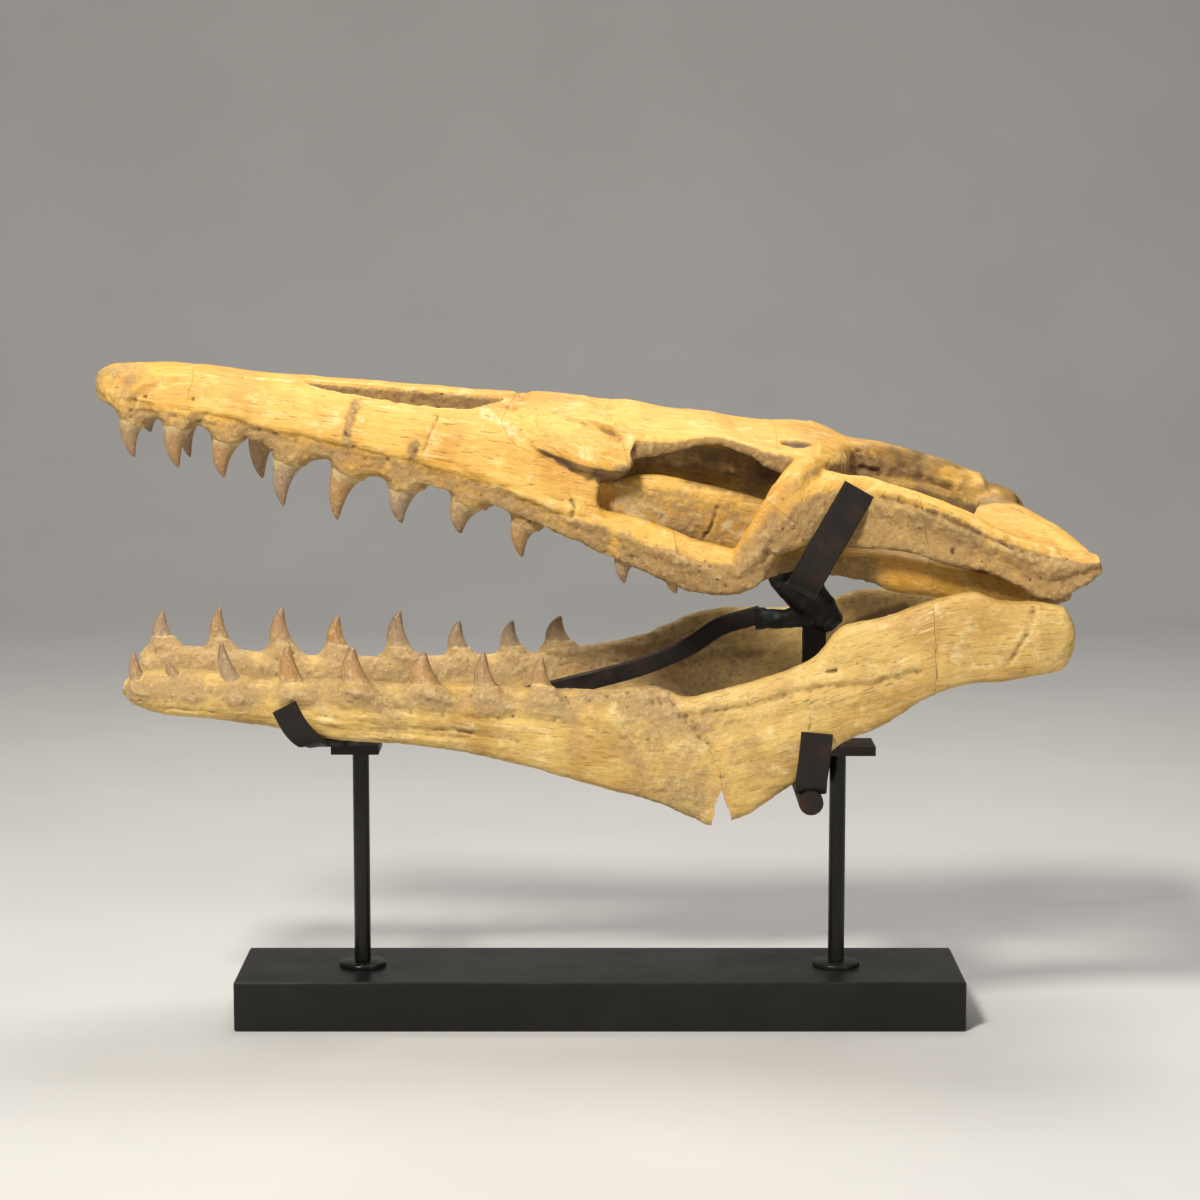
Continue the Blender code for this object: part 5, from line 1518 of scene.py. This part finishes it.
def bone_material(name, golden, amber, tan, cream, umber):
    """Fossil bone: streaks along the grain, a tan crumbly skin where it is rough, the stains, and painted
    light and shade.
    """
    paint = Paint(name)
    grain, place = paint.attribute("grain", "Vector"), paint.place()
    relief, rough, dark, pale = (paint.attribute(kind) for kind in ("relief", "rough", "dark", "pale"))
    clouds = paint.noise(place, 16, 4, 0.6)
    patches = paint.noise(place, 60, 4, 0.7)
    streaks = paint.noise(paint.stretched(grain, (22, 230, 230)), 1.0, 5, 0.68, 0.4)
    fibres = paint.noise(paint.stretched(grain, (45, 650, 650)), 1.0, 4, 0.7, 0.2)
    colour = paint.tints(golden, (clouds, 0.42, 0.66, 0.85, amber), (patches, 0.54, 0.72, 0.6, cream),
                         (streaks, 0.53, 0.72, 0.55, cream), (streaks, 0.46, 0.3, 0.55, amber),
                         (fibres, 0.45, 0.3, 0.65, umber))

    crumble, grit = paint.noise(place, 130, 6, 0.75), paint.noise(place, 620, 4, 0.75)
    ragged = paint.minus(crumble, 0.5)
    edge = paint.plus(rough, paint.times(ragged, 1.6))
    # Tan where rough: crumbly skin, and on faces turned from the top painted shade as well.
    colour = paint.tints(colour, (edge, 0.25, 1.0, 0.85, tan))
    share = paint.plus(paint.times(rough, 0.75), 0.1)
    colour = paint.mix(paint.times(paint.range(grit, 0.56, 0.72, 0.0, 0.6), share), colour, umber)
    colour = paint.mix(paint.times(paint.range(grit, 0.46, 0.3, 0.0, 0.5), share), colour, cream)
    # Painted highlight in cream on ridges; umber in the hollows is dirt and painted shade.
    colour = paint.tints(colour, (relief, 0.1, 0.9, 0.3, cream), (relief, -0.1, -0.9, 0.7, umber))
    # Umber from the dark paint: stains, and painted shade under ledges, in hollows and on downward faces.
    spots = paint.range(paint.plus(crumble, paint.times(dark, 0.6)), 0.58, 0.9)
    colour = paint.mix(paint.times(dark, paint.plus(paint.times(spots, 0.75), 0.25)), colour, umber)
    colour = paint.tints(colour, (paint.plus(pale, paint.times(ragged, 2.6)), 0.75, 1.25, 0.6, PLASTER))

    lines = paint.times(fibres, paint.minus(1.0, paint.times(rough, 0.6)))
    lumps = paint.times(paint.plus(grit, crumble), paint.plus(paint.times(rough, 0.9), 0.15))
    normal = paint.bump(paint.plus(lines, lumps), 0.7, 0.0011)
    return paint.finish(colour, paint.range(edge, 0.1, 0.8, 0.42, 0.85), normal, specular=0.4)


def enamel_material(name, grey, amber, dark, bone):
    """Enamel streaked along the crown and chipped, darker at the tip and bone at the foot."""
    paint = Paint(name)
    share, tone, place = paint.attribute("share"), paint.attribute("tone"), paint.place()
    streaks = paint.noise(paint.stretched(place, (520, 520, 60)), 1.0, 4, 0.65, 0.3)
    chips, specks = paint.noise(place, 210, 4, 0.7), paint.noise(place, 700, 3, 0.7)
    foot = paint.plus(share, paint.times(paint.minus(chips, 0.5), -0.8))
    colour = paint.tints(grey, (paint.plus(tone, paint.times(chips, 0.4)), 0.3, 1.0, 1.0, amber),
                         (streaks, 0.5, 0.72, 0.6, dark), (share, 0.45, 0.95, 0.5, dark),
                         (chips, 0.53, 0.63, 0.6, bone), (specks, 0.56, 0.66, 0.7, dark),
                         (foot, 0.3, 0.02, 1.0, bone))
    normal = paint.bump(paint.plus(streaks, chips), 0.6, 0.0009)
    return paint.finish(colour, paint.range(foot, 0.02, 0.2, 0.75, 0.42), normal, specular=0.45)


def steel_material(name, dark, rust, patina=None, polish=0.38):
    paint = Paint(name)
    place = paint.place()
    cloud = paint.noise(place, 45, 5, 0.7)
    colour = paint.tints(dark, (cloud, 0.5, 0.8, 0.6, rust))
    if patina:
        colour = paint.tints(colour, (paint.noise(place, 90, 3, 0.6), 0.52, 0.7, 0.7, patina))
    normal = paint.bump(paint.noise(place, 600, 4, 0.7), 0.5, 0.0008)
    return paint.finish(colour, paint.range(cloud, 0.3, 0.7, polish, polish + 0.35), normal, 0.55, 0.5)


def lacquer_material(name, roughness):
    paint = Paint(name)
    place = paint.place()
    dust = paint.noise(place, 9, 5, 0.7)
    colour = paint.tints((0.005, 0.005, 0.0048), (dust, 0.4, 0.8, 1.0, (0.011, 0.011, 0.01)))
    normal = paint.bump(paint.noise(place, 380, 3, 0.5), 0.12, 0.0004)
    gloss = paint.range(dust, 0.3, 0.75, roughness - 0.06, roughness + 0.1)
    return paint.finish(colour, gloss, normal, specular=0.3)


def floor_material():
    paint = Paint("studio_floor")
    cloud = paint.noise(paint.place(), 3, 4, 0.5)
    colour = paint.tints((0.52, 0.515, 0.505), (cloud, 0.3, 0.7, 1.0, (0.55, 0.545, 0.535)))
    return paint.finish(colour, 0.85)


# ---- studio -----------------------------------------------------------------
def area_light(name, place, aim, size, power, colour):
    light = bpy.data.lights.new(name, 'AREA')
    light.shape, light.size, light.energy, light.color = 'DISK', size, power, colour
    lamp = bpy.data.objects.new(name, light)
    bpy.context.scene.collection.objects.link(lamp)
    lamp.location = place
    lamp.rotation_euler = (Vector(aim) - Vector(place)).to_track_quat('-Z', 'Y').to_euler()


def studio():
    floor = bpy.data.meshes.new("studio_floor")
    half, rise, bend, steps, back = 6.0, 4.0, 1.2, 12, 2.2
    rows = [(-half, 0.0), (back, 0.0)]
    for k in range(1, steps + 1):
        angle = math.pi / 2 * k / steps
        rows.append((back + bend * math.sin(angle), bend * (1 - math.cos(angle))))
    rows.append((back + bend, rise))
    points = [(x, y, z) for y, z in rows for x in (-half, half)]
    faces = [(2 * k, 2 * k + 1, 2 * k + 3, 2 * k + 2) for k in range(len(rows) - 1)]
    floor.from_pydata(points, [], faces)
    floor.shade_smooth()
    sheet = add_object("studio_floor", floor)
    floor.materials.append(floor_material())

    world = bpy.data.worlds.new("studio")
    bpy.context.scene.world = world
    world.use_nodes = True
    world.node_tree.nodes["Background"].inputs["Color"].default_value = (1, 1, 1, 1)
    world.node_tree.nodes["Background"].inputs["Strength"].default_value = 0.16
    middle = (0, 0, 0.35)
    area_light("key", (-0.85, -1.7, 2.2), middle, 0.5, 92, (1.0, 0.95, 0.87))
    area_light("fill", (1.9, -1.7, 0.8), middle, 1.4, 8, (1.0, 0.97, 0.93))
    area_light("top", (0.2, 0.6, 2.2), middle, 1.0, 28, (1.0, 0.98, 0.95))
    bpy.context.scene.view_settings.view_transform = 'Standard'

    camera = bpy.data.cameras.new("camera")
    camera.lens, camera.sensor_width = CAMERA_LENS, CAMERA_SENSOR
    eye = bpy.data.objects.new("camera", camera)
    bpy.context.scene.collection.objects.link(eye)
    eye.location = (0, -CAMERA_DISTANCE, CAMERA_HEIGHT)
    eye.rotation_euler = (math.radians(90 - CAMERA_PITCH), 0, 0)
    bpy.context.scene.camera = eye


# ---- all of it --------------------------------------------------------------
def main():
    materials = {
        "bone": bone_material("golden_bone", (0.72, 0.42, 0.08), (0.55, 0.27, 0.035), (0.34, 0.215, 0.095),
                              (0.84, 0.64, 0.28), (0.10, 0.05, 0.018)),
        "jaw": bone_material("pale_bone", (0.66, 0.44, 0.13), (0.45, 0.25, 0.055), (0.40, 0.265, 0.125),
                             (0.85, 0.68, 0.35), (0.09, 0.047, 0.02)),
        "enamel": enamel_material("enamel", (0.34, 0.245, 0.15), (0.42, 0.235, 0.085), (0.19, 0.10, 0.045),
                                  (0.52, 0.38, 0.18)),
        "steel": steel_material("oxidised_steel", (0.02, 0.015, 0.012), (0.09, 0.035, 0.015)),
        "weld": steel_material("welded_steel", (0.02, 0.018, 0.016), (0.07, 0.03, 0.015),
                               (0.03, 0.055, 0.05), 0.24),
        "lacquer": lacquer_material("black_lacquer", 0.35),
        "rod": lacquer_material("black_paint", 0.3),
    }
    dress_cranium(materials)
    lower_left, lower_right = set_out(LOWER_TEETH_LEFT, 5.5, 4), set_out(LOWER_TEETH_RIGHT, 1.5, 0)
    jaw("left", LEFT_JAW, lower_left, 11, materials, 50)
    jaw("right", RIGHT_JAW, lower_right, 2, materials, 60)
    for name, rows, slot, place in (
            ("crowns_upper_left", UPPER_TEETH_LEFT, "fossil_bone", leaned),
            ("crowns_upper_right", UPPER_TEETH_RIGHT, "fossil_bone", leaned),
            ("crowns_lower_left", lower_left, "fossil_jaw", unmoved),
            ("crowns_lower_right", lower_right, "fossil_jaw", unmoved)):
        crowns(name, rows, materials["enamel"], slot, place)
    stand(materials)
    studio()


main()
